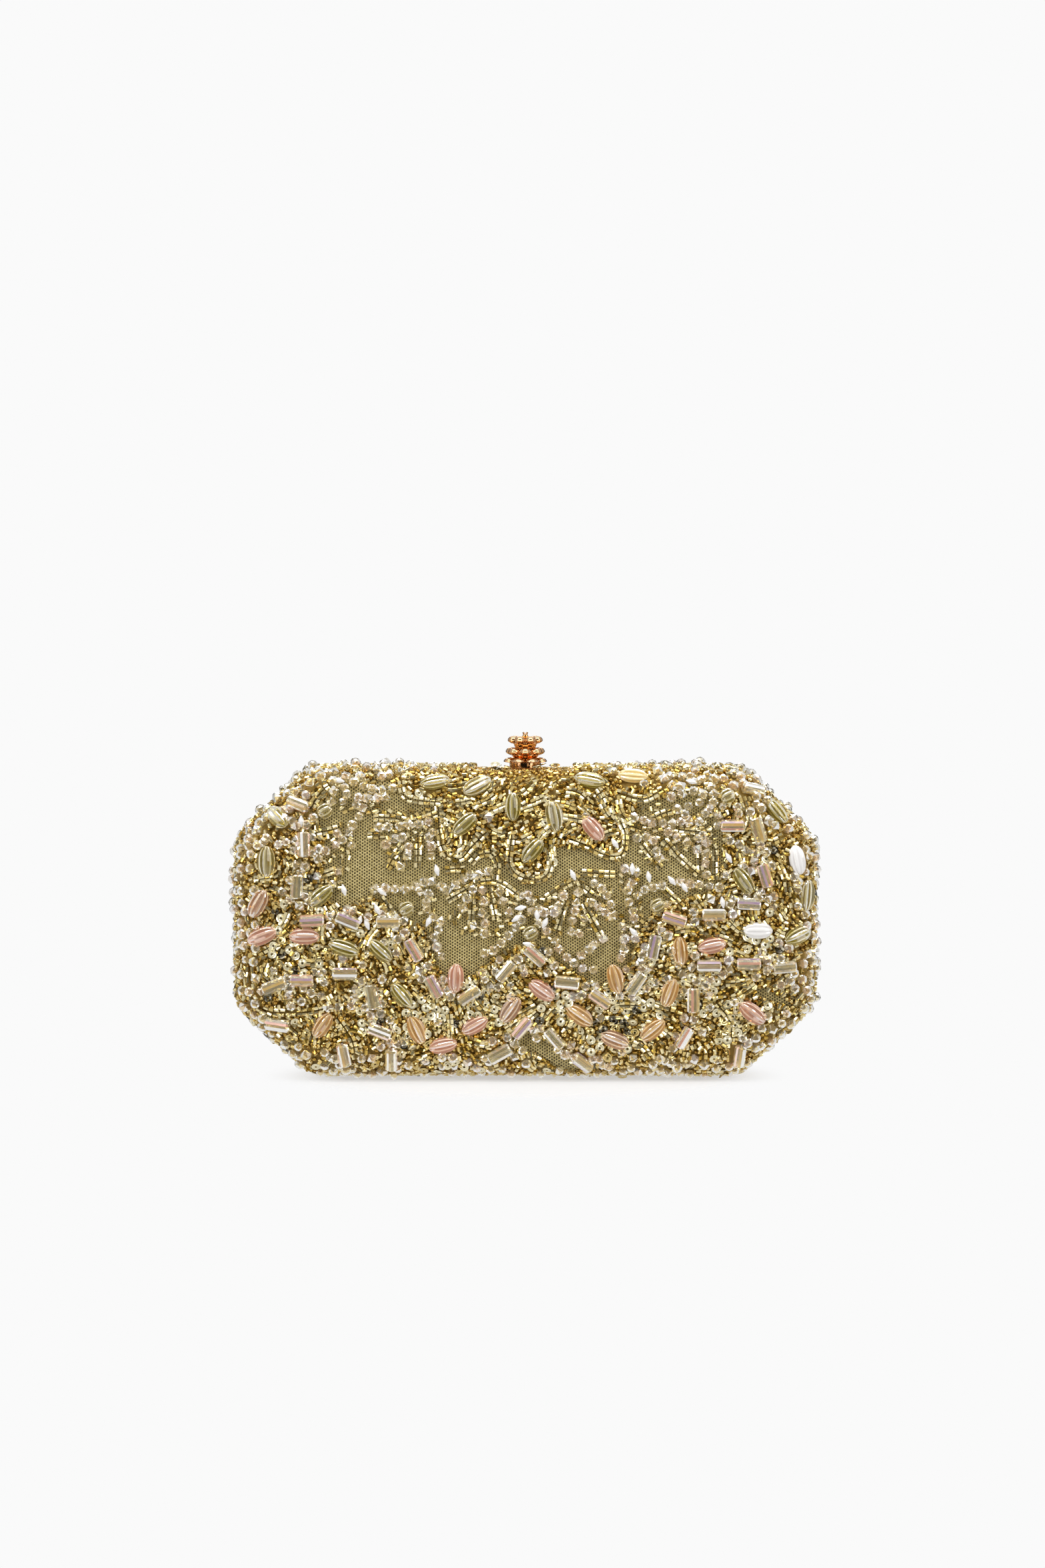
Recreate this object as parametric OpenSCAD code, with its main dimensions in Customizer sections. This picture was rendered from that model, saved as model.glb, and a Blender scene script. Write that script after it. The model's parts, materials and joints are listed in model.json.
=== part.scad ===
// Beaded evening bag: a hard box clutch in two dished halves, hinged along the
// bottom and held shut by a tilting flower clasp on top.
// X runs across the bag, the front faces -Y, and Z = 0 is the base it stands on.

/* [Body] */
// Width over the beads
bag_w = 190; // [150:1:230]
// Height over the beads, without the clasp
bag_h = 102; // [90:1:130]
// Depth of one half at the rim of its domed face
half_depth = 24.5; // [20:0.5:32]
// How far the face domes out past that rim
crown = 2.5; // [1:0.5:5]
// Width of each cut corner
corner_w = 25; // [18:1:30]
// Height of each cut corner
corner_h = 23; // [18:1:28]
// Softening of the eight outline corners
corner_r = 15; // [13:0.5:18]
// Rounding from the side wall into the face
edge_r = 12; // [10:0.5:12]

/* [Layers] */
// Thickness of the bead embroidery
bead_t = 2.95; // [2.5:0.05:3.5]
// Thickness of the net and satin cover
cover_t = 0.5; // [0.3:0.05:0.7]
// Thickness of the padding under the cover
padding_t = 1.0; // [0.5:0.1:1.2]
// Thickness of the moulded shell
shell_t = 1.4; // [1:0.1:1.6]
// Thickness of the satin lining
lining_t = 0.6; // [0.4:0.1:0.8]

/* [Frame] */
// Sheet thickness of the metal frame's lips
lip_t = 0.5; // [0.4:0.05:0.6]
// Reach of the outer lip back from the parting line
lip_reach = 3.3; // [3:0.1:3.6]
// Reach of the inner lip back from the parting line
inner_reach = 5.3; // [4:0.1:6]

/* [Hinge] */
// Distance of each hinge from the middle
hinge_x = 45; // [30:1:55]
// Length of one hinge knuckle
knuckle_len = 3.9; // [3:0.1:5]
// Radius of the hinge knuckles
knuckle_r = 1.4; // [1.3:0.05:1.4]
// Radius of the hinge pins
pin_r = 0.5; // [0.4:0.05:0.6]

/* [Clasp] */
// Radius of the two half-round base plates
plate_r = 5.6; // [5.4:0.1:6]
// Radius of the drum under the petals
drum_r = 5.1; // [4.8:0.1:5.2]
// Outer radius of the lower petals
lower_r = 7.3; // [6.8:0.1:7.4]
// Outer radius of the middle petals
middle_r = 6.6; // [6:0.1:7]
// Outer radius of the upper petals
upper_r = 5.9; // [5.4:0.1:6.4]
// Number of petals in each tier
petals = 7; // [5:1:9]

/* [Hidden] */
$fn = 48;

// How far a cutter runs past what it cuts
past = 1;
// Allowances on radius: a pressed bore, a rivet's hole, a running bore
press_play = 0.02;
rivet_play = 0.03;
run_play = 0.05;

// Insets of the layers from the outside of the beads, each with a small gap
gap = 0.05;
frame_in = bead_t + gap;
cover_in = frame_in + gap;
padding_in = cover_in + cover_t + gap;
shell_in = padding_in + padding_t + gap;
lining_in = shell_in + shell_t + gap;
inner_lip_in = lining_in + lining_t + 2 * gap;
frame_end = inner_lip_in + lip_t;

// Where the layers start, measured back from the parting line
part_gap = 0.1;
web_t = 1.0;
bead_start = 2.6;
cover_start = lip_reach + 0.1;
shell_start = part_gap + web_t + 0.1;

// The beads leave a round clearing for the clasp
clearing_r = 8.4;

// Hinge axis, tucked between the two bead layers under the frame
hinge_z = frame_in - knuckle_r - gap;
knuckle_gap = 0.1;
leaf_t = 0.6;
leaf_reach = 2.5;
leaf_gap = 0.15;

// Clasp heights, from the frame's top edge upwards
top_z = bag_h - frame_in;
plate_t = 0.7;
strike_t = 0.5;
drum_z = top_z + 0.9;
drum_h = 2.1;
lower_z = drum_z + drum_h;
middle_z = top_z + 5.4;
upper_z = top_z + 9.2;
finial_z = top_z + 11.7;

// Rivets that hold the two base plates to the frame
rivet_r = 0.6;
rivet_y = 1.7;
rear_rivet_x = 4.2;
front_rivet_x = 3.9;

// Where each base plate stops short of the parting line, and the tongue behind the rear one
plate_gap = 0.2;
tongue_y = 3;

// The strike's upright, and the pocket in the drum that drops over it
strike_w = 4.0;
strike_y = 3.6;
upright_t = 0.6;
upright_h = 1.1;
pocket_play = 0.4;
pocket_t = 1.6;
pocket_h = 1.3;

// The lever's axle, its barrel, and the ears that carry it
axle_y = 6.0;
axle_z = top_z + 1.9;
axle_r = 0.45;
axle_head_t = 0.35;
axle_head_r = 0.7;
barrel_r = 1.05;
barrel_half = 1.1;
ear_in = 2.3;
ear_out = 3.2;
ear_play = 0.2;
neck_t = 1.6;

// Torsion spring on the axle
wire_r = 0.13;
coil_r = 0.72;
coil_turns = 3;
coil_start = barrel_half + 0.35;
coil_pitch = 2.3 * wire_r;

// Petals: thickness of each tier, and how round their domes are
lower_h = 1.7;
middle_h = 2.6;
upper_h = 2.5;
hub_share = 0.8;
dome_share = 1.3;

// Post through the tiers, with a collar under each of the two upper ones
stem_r = 1.2;
stem_foot = 0.85;
collar_gap = 0.02;
middle_collar_r = 4.6;
upper_collar_r = 4.1;

// Finial: a small collar with two leaning prongs
finial_r = 0.8;
finial_t = 0.4;
prong_len = 1.0;
prong_foot_r = 0.4;
prong_tip_r = 0.28;
prong_lean = 25;

// Gussets, inside the side walls
gusset_in = frame_end + 0.6;
gusset_t = 2.4;
gusset_half = 4.6;
gusset_x = 66;
gusset_top = 74;

// Colours
gold = "#c98a4a";
dark_gold = "#9a6a2c";
bead_gold = "#cdb26a";
satin = "#b59a5a";
cream = "#e6d7b4";
board = "#8a8278";
wadding = "#efe9dc";
steel = "silver";

// ---- Outline of the bag, seen from the front, as [x, z] points ----
corners = [
    [bag_w / 2 - corner_w, 0], [bag_w / 2, corner_h],
    [bag_w / 2, bag_h - corner_h], [bag_w / 2 - corner_w, bag_h],
    [corner_w - bag_w / 2, bag_h], [-bag_w / 2, bag_h - corner_h],
    [-bag_w / 2, corner_h], [corner_w - bag_w / 2, 0]
];
arc_steps = 4;

// Direction of the outward normal of the side that starts at corner i
function side(i) = corners[(i + 1) % 8] - corners[i % 8];
function normal_angle(i) = atan2(-side(i).x, side(i).y);
function turn(i) = (normal_angle(i) - normal_angle(i + 7) + 720) % 360;
// Centre of the arc that rounds corner i
function arc_centre(i) =
    let (mid = normal_angle(i + 7) + turn(i) / 2)
    corners[i] - corner_r / cos(turn(i) / 2) * [cos(mid), sin(mid)];
// The rounded outline, moved inwards by inset
function outline(inset) = [
    for (i = [0:7], k = [0:arc_steps])
        let (a = normal_angle(i + 7) + turn(i) * k / arc_steps)
        arc_centre(i) + (corner_r - inset) * [cos(a), sin(a)]
];

// ---- A dished layer, as rings of points from the rim to the middle of the face ----
edge_steps = 4;
crown_steps = 3;
ring_len = 8 * (arc_steps + 1);
ring_count = edge_steps + crown_steps + 1;

function ring(inset, scale_by, y) = [
    for (p = outline(inset))
        [p.x * scale_by, y, bag_h / 2 + (p.y - bag_h / 2) * scale_by]
];
// Rings of the sheet that lies inset by e everywhere, starting at depth y0
function layer_points(e, y0) = concat(
    ring(e, 1, y0),
    [for (k = [0:edge_steps])
        let (a = 90 * k / edge_steps)
        each ring(e + (edge_r - e) * (1 - cos(a)), 1,
                  half_depth - edge_r + (edge_r - e) * sin(a))],
    [for (k = [1:crown_steps - 1])
        let (s = 1 - k / crown_steps)
        each ring(edge_r, s, half_depth - e + crown * (1 - s * s))],
    [[0, half_depth - e + crown, bag_h / 2]]
);
// Triangles between neighbouring rings, and the fan that closes the middle
function skin(first, flip) = [
    for (r = [0:ring_count - 2], k = [0:ring_len - 1])
        let (a = first + r * ring_len + k, b = first + r * ring_len + (k + 1) % ring_len,
             c = a + ring_len, d = b + ring_len)
        each flip ? [[a, c, b], [b, c, d]] : [[a, b, c], [b, d, c]],
    for (k = [0:ring_len - 1])
        let (a = first + (ring_count - 1) * ring_len + k,
             b = first + (ring_count - 1) * ring_len + (k + 1) % ring_len,
             c = first + ring_count * ring_len)
        flip ? [a, c, b] : [a, b, c]
];

// One layer from inset e_out to e_in, open at the parting line
module dish(e_out, e_in, y0) {
    second = ring_count * ring_len + 1;
    rim = [for (k = [0:ring_len - 1])
        let (a = k, b = (k + 1) % ring_len, c = second + k, d = second + (k + 1) % ring_len)
        each [[a, c, b], [b, c, d]]];
    polyhedron(concat(layer_points(e_out, y0), layer_points(e_in, y0)),
               concat(skin(0, false), skin(second, true), rim));
}

// A flat ring of sheet metal between two insets, from depth y0 to y1
module band(e_out, e_in, y0, y1) {
    translate([0, y1, 0]) rotate([90, 0, 0]) linear_extrude(y1 - y0) difference() {
        polygon(outline(e_out));
        polygon(outline(e_in));
    }
}

// Either half is built facing +Y; the front one is its mirror image
module front_side() { mirror([0, 1, 0]) children(); }

// Cylinder along X from x0 to x1
module rod_x(x0, x1, r, y = 0, z = 0) {
    translate([x0, y, z]) rotate([0, 90, 0]) cylinder(h = x1 - x0, r = r);
}

// ---- Layers ----
module rivet_holes(x, y) {
    for (s = [-1, 1])
        translate([s * x, y, top_z - lip_t - past])
            cylinder(h = lip_t + plate_t + 2 * past, r = rivet_r + rivet_play);
}
module half_frame(rivet_x) {
    difference() {
        union() {
            band(frame_in, frame_in + lip_t, part_gap, lip_reach);
            band(frame_in, frame_end, part_gap, part_gap + web_t);
            band(inner_lip_in, frame_end, part_gap, inner_reach);
        }
        rivet_holes(rivet_x, rivet_y);
    }
}
module half_shell() { dish(shell_in, shell_in + shell_t, shell_start); }
module half_padding() { dish(padding_in, padding_in + padding_t, cover_start); }
module half_cover() { dish(cover_in, cover_in + cover_t, cover_start); }
module half_lining() { dish(lining_in, lining_in + lining_t, shell_start); }
module half_beadwork() {
    difference() {
        dish(0, bead_t, bead_start);
        translate([0, 0, bag_h - bead_t - past])
            cylinder(h = bead_t + 2 * past, r = clearing_r);
    }
}

// ---- Hinges ----
// The rear leaf carries the two outer knuckles of each hinge
module rear_leaf() {
    outer = knuckle_len / 2 + knuckle_gap;
    end = outer + knuckle_len;
    difference() {
        union() {
            for (x0 = [-end, outer]) {
                rod_x(x0, x0 + knuckle_len, knuckle_r, 0, hinge_z);
                translate([x0, 0, frame_in - leaf_t]) cube([knuckle_len, leaf_reach, leaf_t]);
            }
            translate([-end, knuckle_r + leaf_gap, frame_in - leaf_t])
                cube([2 * end, leaf_reach - knuckle_r - leaf_gap, leaf_t]);
        }
        rod_x(-end - past, end + past, pin_r + press_play, 0, hinge_z);
    }
}
// The front leaf carries the middle knuckle, which turns on the pin
module front_leaf() {
    difference() {
        union() {
            rod_x(-knuckle_len / 2, knuckle_len / 2, knuckle_r, 0, hinge_z);
            translate([-knuckle_len / 2, -leaf_reach, frame_in - leaf_t])
                cube([knuckle_len, leaf_reach, leaf_t]);
        }
        rod_x(-knuckle_len, knuckle_len, pin_r + run_play, 0, hinge_z);
    }
}
module hinge_pin() {
    reach = 1.5 * knuckle_len + knuckle_gap;
    rod_x(-reach, reach, pin_r, 0, hinge_z);
}
module at_hinges() {
    for (s = [-1, 1]) translate([s * hinge_x, 0, 0]) children();
}

// ---- Clasp ----
// The half of a base disc that lies on the +Y side
module half_disc(t, from_y) {
    intersection() {
        translate([0, 0, top_z]) cylinder(h = t, r = plate_r);
        translate([-2 * plate_r, from_y, top_z - past])
            cube([4 * plate_r, 4 * plate_r, t + 2 * past]);
    }
}
// The rear half disc, and the tongue that carries the axle's ears
module base_plate() {
    ear_t = ear_out - ear_in;
    difference() {
        union() {
            half_disc(plate_t, plate_gap);
            translate([-ear_out, tongue_y, top_z])
                cube([2 * ear_out, axle_y + barrel_r - tongue_y, plate_t]);
            for (x0 = [-ear_out, ear_in]) {
                rod_x(x0, x0 + ear_t, barrel_r, axle_y, axle_z);
                translate([x0, axle_y - barrel_r, top_z])
                    cube([ear_t, 2 * barrel_r, axle_z - top_z]);
            }
        }
        rod_x(-ear_out - past, ear_out + past, axle_r + press_play, axle_y, axle_z);
        rivet_holes(rear_rivet_x, rivet_y);
    }
}
module plate_rivets(x, h) {
    for (s = [-1, 1])
        translate([s * x, rivet_y, top_z - lip_t - part_gap])
            cylinder(h = h + lip_t + part_gap, r = rivet_r);
}
// The front half disc with the upright that the drum hooks over
module strike() {
    difference() {
        union() {
            front_side() half_disc(strike_t, plate_gap);
            translate([-strike_w / 2, -strike_y, top_z])
                cube([strike_w, upright_t, strike_t + upright_h]);
        }
        rivet_holes(front_rivet_x, -rivet_y);
    }
}
module axle() {
    rod_x(-ear_out, ear_out, axle_r, axle_y, axle_z);
    for (x = [-ear_out - axle_head_t, ear_out])
        rod_x(x, x + axle_head_t, axle_head_r, axle_y, axle_z);
}
// Close turns on the axle either side of the lever's barrel
module spring() {
    for (s = [-1, 1], k = [0:coil_turns - 1])
        translate([s * (coil_start + k * coil_pitch), axle_y, axle_z]) rotate([0, 90, 0])
            rotate_extrude() translate([coil_r, 0]) circle(r = wire_r, $fn = 16);
}
// The drum is the lever: it hooks the strike in front and turns on the axle behind
module drum() {
    ear_room = ear_out + 3 * ear_play;
    difference() {
        union() {
            translate([0, 0, drum_z]) cylinder(h = drum_h, r = drum_r);
            rod_x(-barrel_half, barrel_half, barrel_r, axle_y, axle_z);
            translate([-barrel_half, drum_r - past, drum_z + gap])
                cube([2 * barrel_half, axle_y - drum_r + past, neck_t]);
        }
        // Pocket over the strike's upright
        translate([-strike_w / 2 - pocket_play, -strike_y - pocket_play, drum_z - past])
            cube([strike_w + 2 * pocket_play, pocket_t, pocket_h + past]);
        // Clearance around the ears and the axle
        for (x0 = [ear_in - ear_play, -ear_room])
            rod_x(x0, x0 + ear_room - ear_in + ear_play, barrel_r + ear_play, axle_y, axle_z);
        rod_x(-ear_room, ear_room, axle_r + run_play, axle_y, axle_z);
        translate([0, 0, drum_z + stem_foot - gap])
            cylinder(h = drum_h, r = stem_r + rivet_play);
    }
}
// A hub with round domed petals, the first one at start_angle
module petal_tier(z, r_out, thick, start_angle) {
    petal_r = r_out * sin(180 / petals) / (1 + sin(180 / petals));
    dome_r = petal_r * dome_share;
    difference() {
        union() {
            translate([0, 0, z]) cylinder(h = thick * hub_share, r = r_out - petal_r);
            for (k = [0:petals - 1])
                rotate([0, 0, start_angle + 360 * k / petals])
                    translate([r_out - petal_r, 0, z]) intersection() {
                        cylinder(h = thick, r = petal_r);
                        translate([0, 0, thick - dome_r]) sphere(r = dome_r);
                    }
        }
        translate([0, 0, z - past]) cylinder(h = thick + 2 * past, r = stem_r + rivet_play);
    }
}
module collar(from_z, to_z, r) {
    translate([0, 0, from_z + collar_gap])
        cylinder(h = to_z - from_z - 2 * collar_gap, r = r);
}
module stem() {
    foot_z = drum_z + stem_foot;
    translate([0, 0, foot_z]) cylinder(h = finial_z - foot_z, r = stem_r);
    collar(lower_z + lower_h, middle_z, middle_collar_r);
    collar(middle_z + middle_h, upper_z, upper_collar_r);
}
module finial() {
    translate([0, 0, finial_z]) cylinder(h = finial_t, r = finial_r);
    for (s = [-1, 1])
        translate([s * finial_r / 3, 0, finial_z + 0.75 * finial_t]) rotate([0, s * prong_lean, 0])
            cylinder(h = prong_len, r1 = prong_foot_r, r2 = prong_tip_r);
}

// ---- Gussets: folded satin inside each side, between the two linings ----
module gusset() {
    translate([0, gusset_half, 0]) rotate([90, 0, 0]) linear_extrude(2 * gusset_half)
        intersection() {
            difference() {
                polygon(outline(gusset_in));
                polygon(outline(gusset_in + gusset_t));
            }
            translate([gusset_x, 0]) square([bag_w, gusset_top]);
        }
}

// ---- Nodes ----
module rear_frame() { color(gold) half_frame(rear_rivet_x); }
module rear_shell() { color(board) half_shell(); }
module rear_padding() { color(wadding) half_padding(); }
module rear_cover() { color(satin) half_cover(); }
module rear_beadwork() { color(bead_gold) half_beadwork(); }
module rear_lining() { color(cream) half_lining(); }
module rear_hinge_leaves() { color(gold) at_hinges() rear_leaf(); }
module hinge_pins() { color(dark_gold) at_hinges() hinge_pin(); }
module clasp_base() { color(dark_gold) base_plate(); }
module clasp_base_rivets() { color(gold) plate_rivets(rear_rivet_x, plate_t); }
module clasp_axle() { color(dark_gold) axle(); }
module clasp_spring() { color(steel) spring(); }
module gusset_left() { color(cream) mirror([1, 0, 0]) gusset(); }
module gusset_right() { color(cream) gusset(); }
module front_frame() { color(gold) front_side() half_frame(front_rivet_x); }
module front_shell() { color(board) front_side() half_shell(); }
module front_padding() { color(wadding) front_side() half_padding(); }
module front_cover() { color(satin) front_side() half_cover(); }
module front_beadwork() { color(bead_gold) front_side() half_beadwork(); }
module front_lining() { color(cream) front_side() half_lining(); }
module front_hinge_leaves() { color(gold) at_hinges() front_leaf(); }
module strike_plate() { color(dark_gold) strike(); }
module strike_rivets() { color(gold) front_side() plate_rivets(front_rivet_x, strike_t); }
module clasp_drum() { color(dark_gold) drum(); }
module lower_petals() { color(gold) petal_tier(lower_z, lower_r, lower_h, 180 / petals - 90); }
module middle_petals() { color(gold) petal_tier(middle_z, middle_r, middle_h, -90); }
module upper_petals() { color(gold) petal_tier(upper_z, upper_r, upper_h, 180 / petals - 90); }
module clasp_stem() { color(dark_gold) stem(); }
module clasp_finial() { color(gold) finial(); }

rear_frame();
rear_shell();
rear_padding();
rear_cover();
rear_beadwork();
rear_lining();
rear_hinge_leaves();
hinge_pins();
clasp_base();
clasp_base_rivets();
clasp_axle();
clasp_spring();
gusset_left();
gusset_right();
front_frame();
front_shell();
front_padding();
front_cover();
front_beadwork();
front_lining();
front_hinge_leaves();
strike_plate();
strike_rivets();
clasp_drum();
lower_petals();
middle_petals();
upper_petals();
clasp_stem();
clasp_finial();
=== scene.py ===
"""Beaded evening bag: the looks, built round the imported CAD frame.

All shapes are worked out in millimetres on the front half and turned half a circle for the rear
half. X runs across the bag, the front faces -Y, and Z = 0 is the table.
"""
import json
import math

import bpy
import numpy as np
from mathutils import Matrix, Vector

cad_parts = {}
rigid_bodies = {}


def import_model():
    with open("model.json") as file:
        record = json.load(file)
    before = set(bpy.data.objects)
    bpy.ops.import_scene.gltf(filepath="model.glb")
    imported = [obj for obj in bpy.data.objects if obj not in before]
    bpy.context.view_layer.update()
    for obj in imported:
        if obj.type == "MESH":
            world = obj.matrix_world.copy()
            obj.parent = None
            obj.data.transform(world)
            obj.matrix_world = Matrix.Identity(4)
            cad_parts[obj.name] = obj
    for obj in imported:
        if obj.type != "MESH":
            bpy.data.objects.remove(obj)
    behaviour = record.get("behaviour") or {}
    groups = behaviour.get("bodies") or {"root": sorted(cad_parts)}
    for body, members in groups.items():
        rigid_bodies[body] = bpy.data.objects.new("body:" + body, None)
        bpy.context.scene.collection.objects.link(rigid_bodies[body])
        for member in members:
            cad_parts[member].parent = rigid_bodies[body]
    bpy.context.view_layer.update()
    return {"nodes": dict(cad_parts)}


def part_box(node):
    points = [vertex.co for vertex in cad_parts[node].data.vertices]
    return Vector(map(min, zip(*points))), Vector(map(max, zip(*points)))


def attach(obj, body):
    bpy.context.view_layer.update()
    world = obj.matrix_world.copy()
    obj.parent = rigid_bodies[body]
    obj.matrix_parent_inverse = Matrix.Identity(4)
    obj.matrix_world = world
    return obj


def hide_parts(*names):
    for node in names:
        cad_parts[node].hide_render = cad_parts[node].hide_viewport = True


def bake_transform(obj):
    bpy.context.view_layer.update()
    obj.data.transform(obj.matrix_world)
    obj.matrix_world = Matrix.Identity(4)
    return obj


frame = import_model()

MM = 0.001
SEED = 7
rng = np.random.default_rng(SEED)
TRI_LIMIT = 180000
TABLE_GAP = 0.02


# ---------------------------------------------------------------- form of the bag
def node_box(node):
    """A CAD node's lowest and highest corner, in millimetres."""
    low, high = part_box(node)
    return np.array(low) / MM, np.array(high) / MM


bead_low, bead_high = node_box("front_beadwork")
cover_low, cover_high = node_box("front_cover")
BAG_W = bead_high[0] - bead_low[0]
BAG_H = bead_high[2] - bead_low[2]
CORNER_W, CORNER_H = 25.0, 23.0
CORNER_R, EDGE_R = 15.0, 12.0
CROWN = 2.5
HALF_DEPTH = -bead_low[1] - CROWN
COVER_IN = cover_low[2]
COVER_START = -cover_high[1]
BEAD_START = -bead_high[1]
CLEARING_R = 8.4
FACE_LEAN = -0.35

half_w = BAG_W / 2
CORNERS = np.array([
    (half_w - CORNER_W, 0), (half_w, CORNER_H),
    (half_w, BAG_H - CORNER_H), (half_w - CORNER_W, BAG_H),
    (CORNER_W - half_w, BAG_H), (-half_w, BAG_H - CORNER_H),
    (-half_w, CORNER_H), (CORNER_W - half_w, 0)])
CENTRE = np.array((0, BAG_H / 2))


def side_normals():
    """Outward unit normal of the side that starts at each corner."""
    d = np.roll(CORNERS, -1, axis=0) - CORNERS
    d /= np.linalg.norm(d, axis=1)[:, None]
    return np.stack([d[:, 1], -d[:, 0]], axis=1)


NORMALS = side_normals()


def arc_centres():
    """The middle of the rounding at each corner."""
    before = np.roll(NORMALS, 1, axis=0)
    mid = before + NORMALS
    mid /= np.linalg.norm(mid, axis=1)[:, None]
    half = np.arccos(np.clip((before * NORMALS).sum(1), -1, 1)) / 2
    return CORNERS - mid * (CORNER_R / np.cos(half))[:, None]


ARC_CENTRES = arc_centres()


def outline(inset, arc_steps=8, side_step=3.0):
    """Points round the outline, moved inwards by inset, with their outward normals."""
    points, normals = [], []
    for i in range(8):
        n0, n1 = NORMALS[i - 1], NORMALS[i]
        a0 = math.atan2(n0[1], n0[0])
        turn = (math.atan2(n1[1], n1[0]) - a0) % (2 * math.pi)
        for k in range(arc_steps + 1):
            t = a0 + turn * k / arc_steps
            n = np.array((math.cos(t), math.sin(t)))
            points.append(ARC_CENTRES[i] + (CORNER_R - inset) * n)
            normals.append(n)
        start = points[-1]
        end = ARC_CENTRES[(i + 1) % 8] + (CORNER_R - inset) * n1
        steps = max(2, int(np.linalg.norm(ARC_CENTRES[(i + 1) % 8] - ARC_CENTRES[i]) / side_step))
        for k in range(1, steps):
            points.append(start + (end - start) * k / steps)
            normals.append(n1)
    return np.array(points), np.array(normals)


def inset_of(p):
    """How far inside the outline each point lies, for points within the bag's outline."""
    core = ARC_CENTRES
    edge = np.roll(core, -1, axis=0) - core
    length = np.linalg.norm(edge, axis=1)
    best = np.full(len(p), 1e9)
    inside = np.full(len(p), -1e9)
    for i in range(8):
        rel = p - core[i]
        t = np.clip((rel @ edge[i]) / length[i] ** 2, 0, 1)
        best = np.minimum(best, np.linalg.norm(rel - t[:, None] * edge[i], axis=1))
        inside = np.maximum(inside, rel @ NORMALS[i])
    return CORNER_R - np.where(inside > 0, best, inside)


rim, _ = outline(EDGE_R, 24, 1.0)
rim_angle = np.arctan2(rim[:, 1] - CENTRE[1], rim[:, 0])
rim_order = np.argsort(rim_angle)
rim_angle = rim_angle[rim_order]
rim_radius = np.linalg.norm(rim - CENTRE, axis=1)[rim_order]


def depth(p, e):
    """How far the layer at inset e stands out from the parting line at face points p."""
    p = np.atleast_2d(p)
    t = inset_of(p) - e
    r = EDGE_R - e
    rounded = HALF_DEPTH - EDGE_R + r * np.sqrt(np.clip(1 - (1 - np.clip(t / r, 0, 1)) ** 2, 0, 1))
    rel = p - CENTRE
    edge = np.interp(np.arctan2(rel[:, 1], rel[:, 0]), rim_angle, rim_radius, period=2 * math.pi)
    s = np.clip(np.linalg.norm(rel, axis=1) / edge, 0, 1)
    domed = HALF_DEPTH - e + CROWN * (1 - s * s)
    return np.where(t < r, rounded, domed)


def on_face(p, lift=0.0):
    """Positions and outward normals on the front cover for face points p (x, z)."""
    p = np.atleast_2d(np.asarray(p, float))
    step = 0.3
    dx, dz = np.array((step, 0)), np.array((0, step))
    gx = (depth(p + dx, COVER_IN) - depth(p - dx, COVER_IN)) / (2 * step)
    gz = (depth(p + dz, COVER_IN) - depth(p - dz, COVER_IN)) / (2 * step)
    n = np.stack([-gx, -np.ones(len(p)), -gz], axis=1)
    n /= np.linalg.norm(n, axis=1)[:, None]
    pos = np.stack([p[:, 0], -depth(p, COVER_IN), p[:, 1]], axis=1)
    return pos + n * np.reshape(lift, (-1, 1)), n


def profile(e, start, wall_steps=6, edge_steps=10, crown_steps=14):
    """(inset, scale, depth) of each ring of a layer, from its rim to the middle of its face."""
    rows = [(e, 1.0, start + (HALF_DEPTH - EDGE_R - start) * k / wall_steps)
            for k in range(wall_steps)]
    for k in range(edge_steps + 1):
        t = math.pi / 2 * k / edge_steps
        rows.append((e + (EDGE_R - e) * (1 - math.cos(t)), 1.0,
                     HALF_DEPTH - EDGE_R + (EDGE_R - e) * math.sin(t)))
    for k in range(1, crown_steps):
        s = 1 - k / crown_steps
        rows.append((EDGE_R, s, HALF_DEPTH - e + CROWN * (1 - s * s)))
    return rows


def at_depth(p, y):
    """Face points moved out to one depth on the front half."""
    return np.stack([p[:, 0], np.full(len(p), -y), p[:, 1]], axis=1)


def layer_grid(e, start, **steps):
    """Rings of points of a layer on the front half, as an array (rings, points, 3)."""
    return np.array([at_depth(CENTRE + (outline(inset)[0] - CENTRE) * scale, y)
                     for inset, scale, y in profile(e, start, **steps)])


# ---------------------------------------------------------------- materials
def add_node(tree, kind, **settings):
    """A new shader node with some of its settings changed."""
    node = tree.nodes.new("ShaderNode" + kind)
    for key, value in settings.items():
        setattr(node, key, value)
    return node


def map_range(tree, span, **settings):
    """A node that turns this span of values into 0 to 1."""
    node = add_node(tree, "MapRange", **settings)
    for key, value in zip(("From Min", "From Max"), span):
        node.inputs[key].default_value = value
    return node


def shader_of(mat):
    return mat.node_tree.nodes["Principled BSDF"]


def principled(name, color, **values):
    """A material whose shader sockets are set straight from values."""
    mat = bpy.data.materials.new(name)
    mat.use_nodes = True
    shader = shader_of(mat)
    shader.inputs["Base Color"].default_value = (*color, 1)
    for key, value in values.items():
        shader.inputs[key.replace("_", " ")].default_value = value
    mat.diffuse_color = (*color, 1)
    return mat


def texture(mat, kind, scale, **values):
    """A texture node in object space, ready to be linked."""
    tree = mat.node_tree
    coords = add_node(tree, "TexCoord")
    node = add_node(tree, kind)
    node.inputs["Scale"].default_value = scale
    for key, value in values.items():
        node.inputs[key.replace("_", " ")].default_value = value
    tree.links.new(coords.outputs["Object"], node.inputs["Vector"])
    return node


def ramp(mat, source, stops):
    """Colours looked up from a value, at the stops (place, colour)."""
    node = add_node(mat.node_tree, "ValToRGB")
    while len(node.color_ramp.elements) < len(stops):
        node.color_ramp.elements.new(0.5)
    for element, (at, color) in zip(node.color_ramp.elements, stops):
        element.position = at
        element.color = (*color, 1)
    mat.node_tree.links.new(source, node.inputs["Fac"])
    return node


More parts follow.
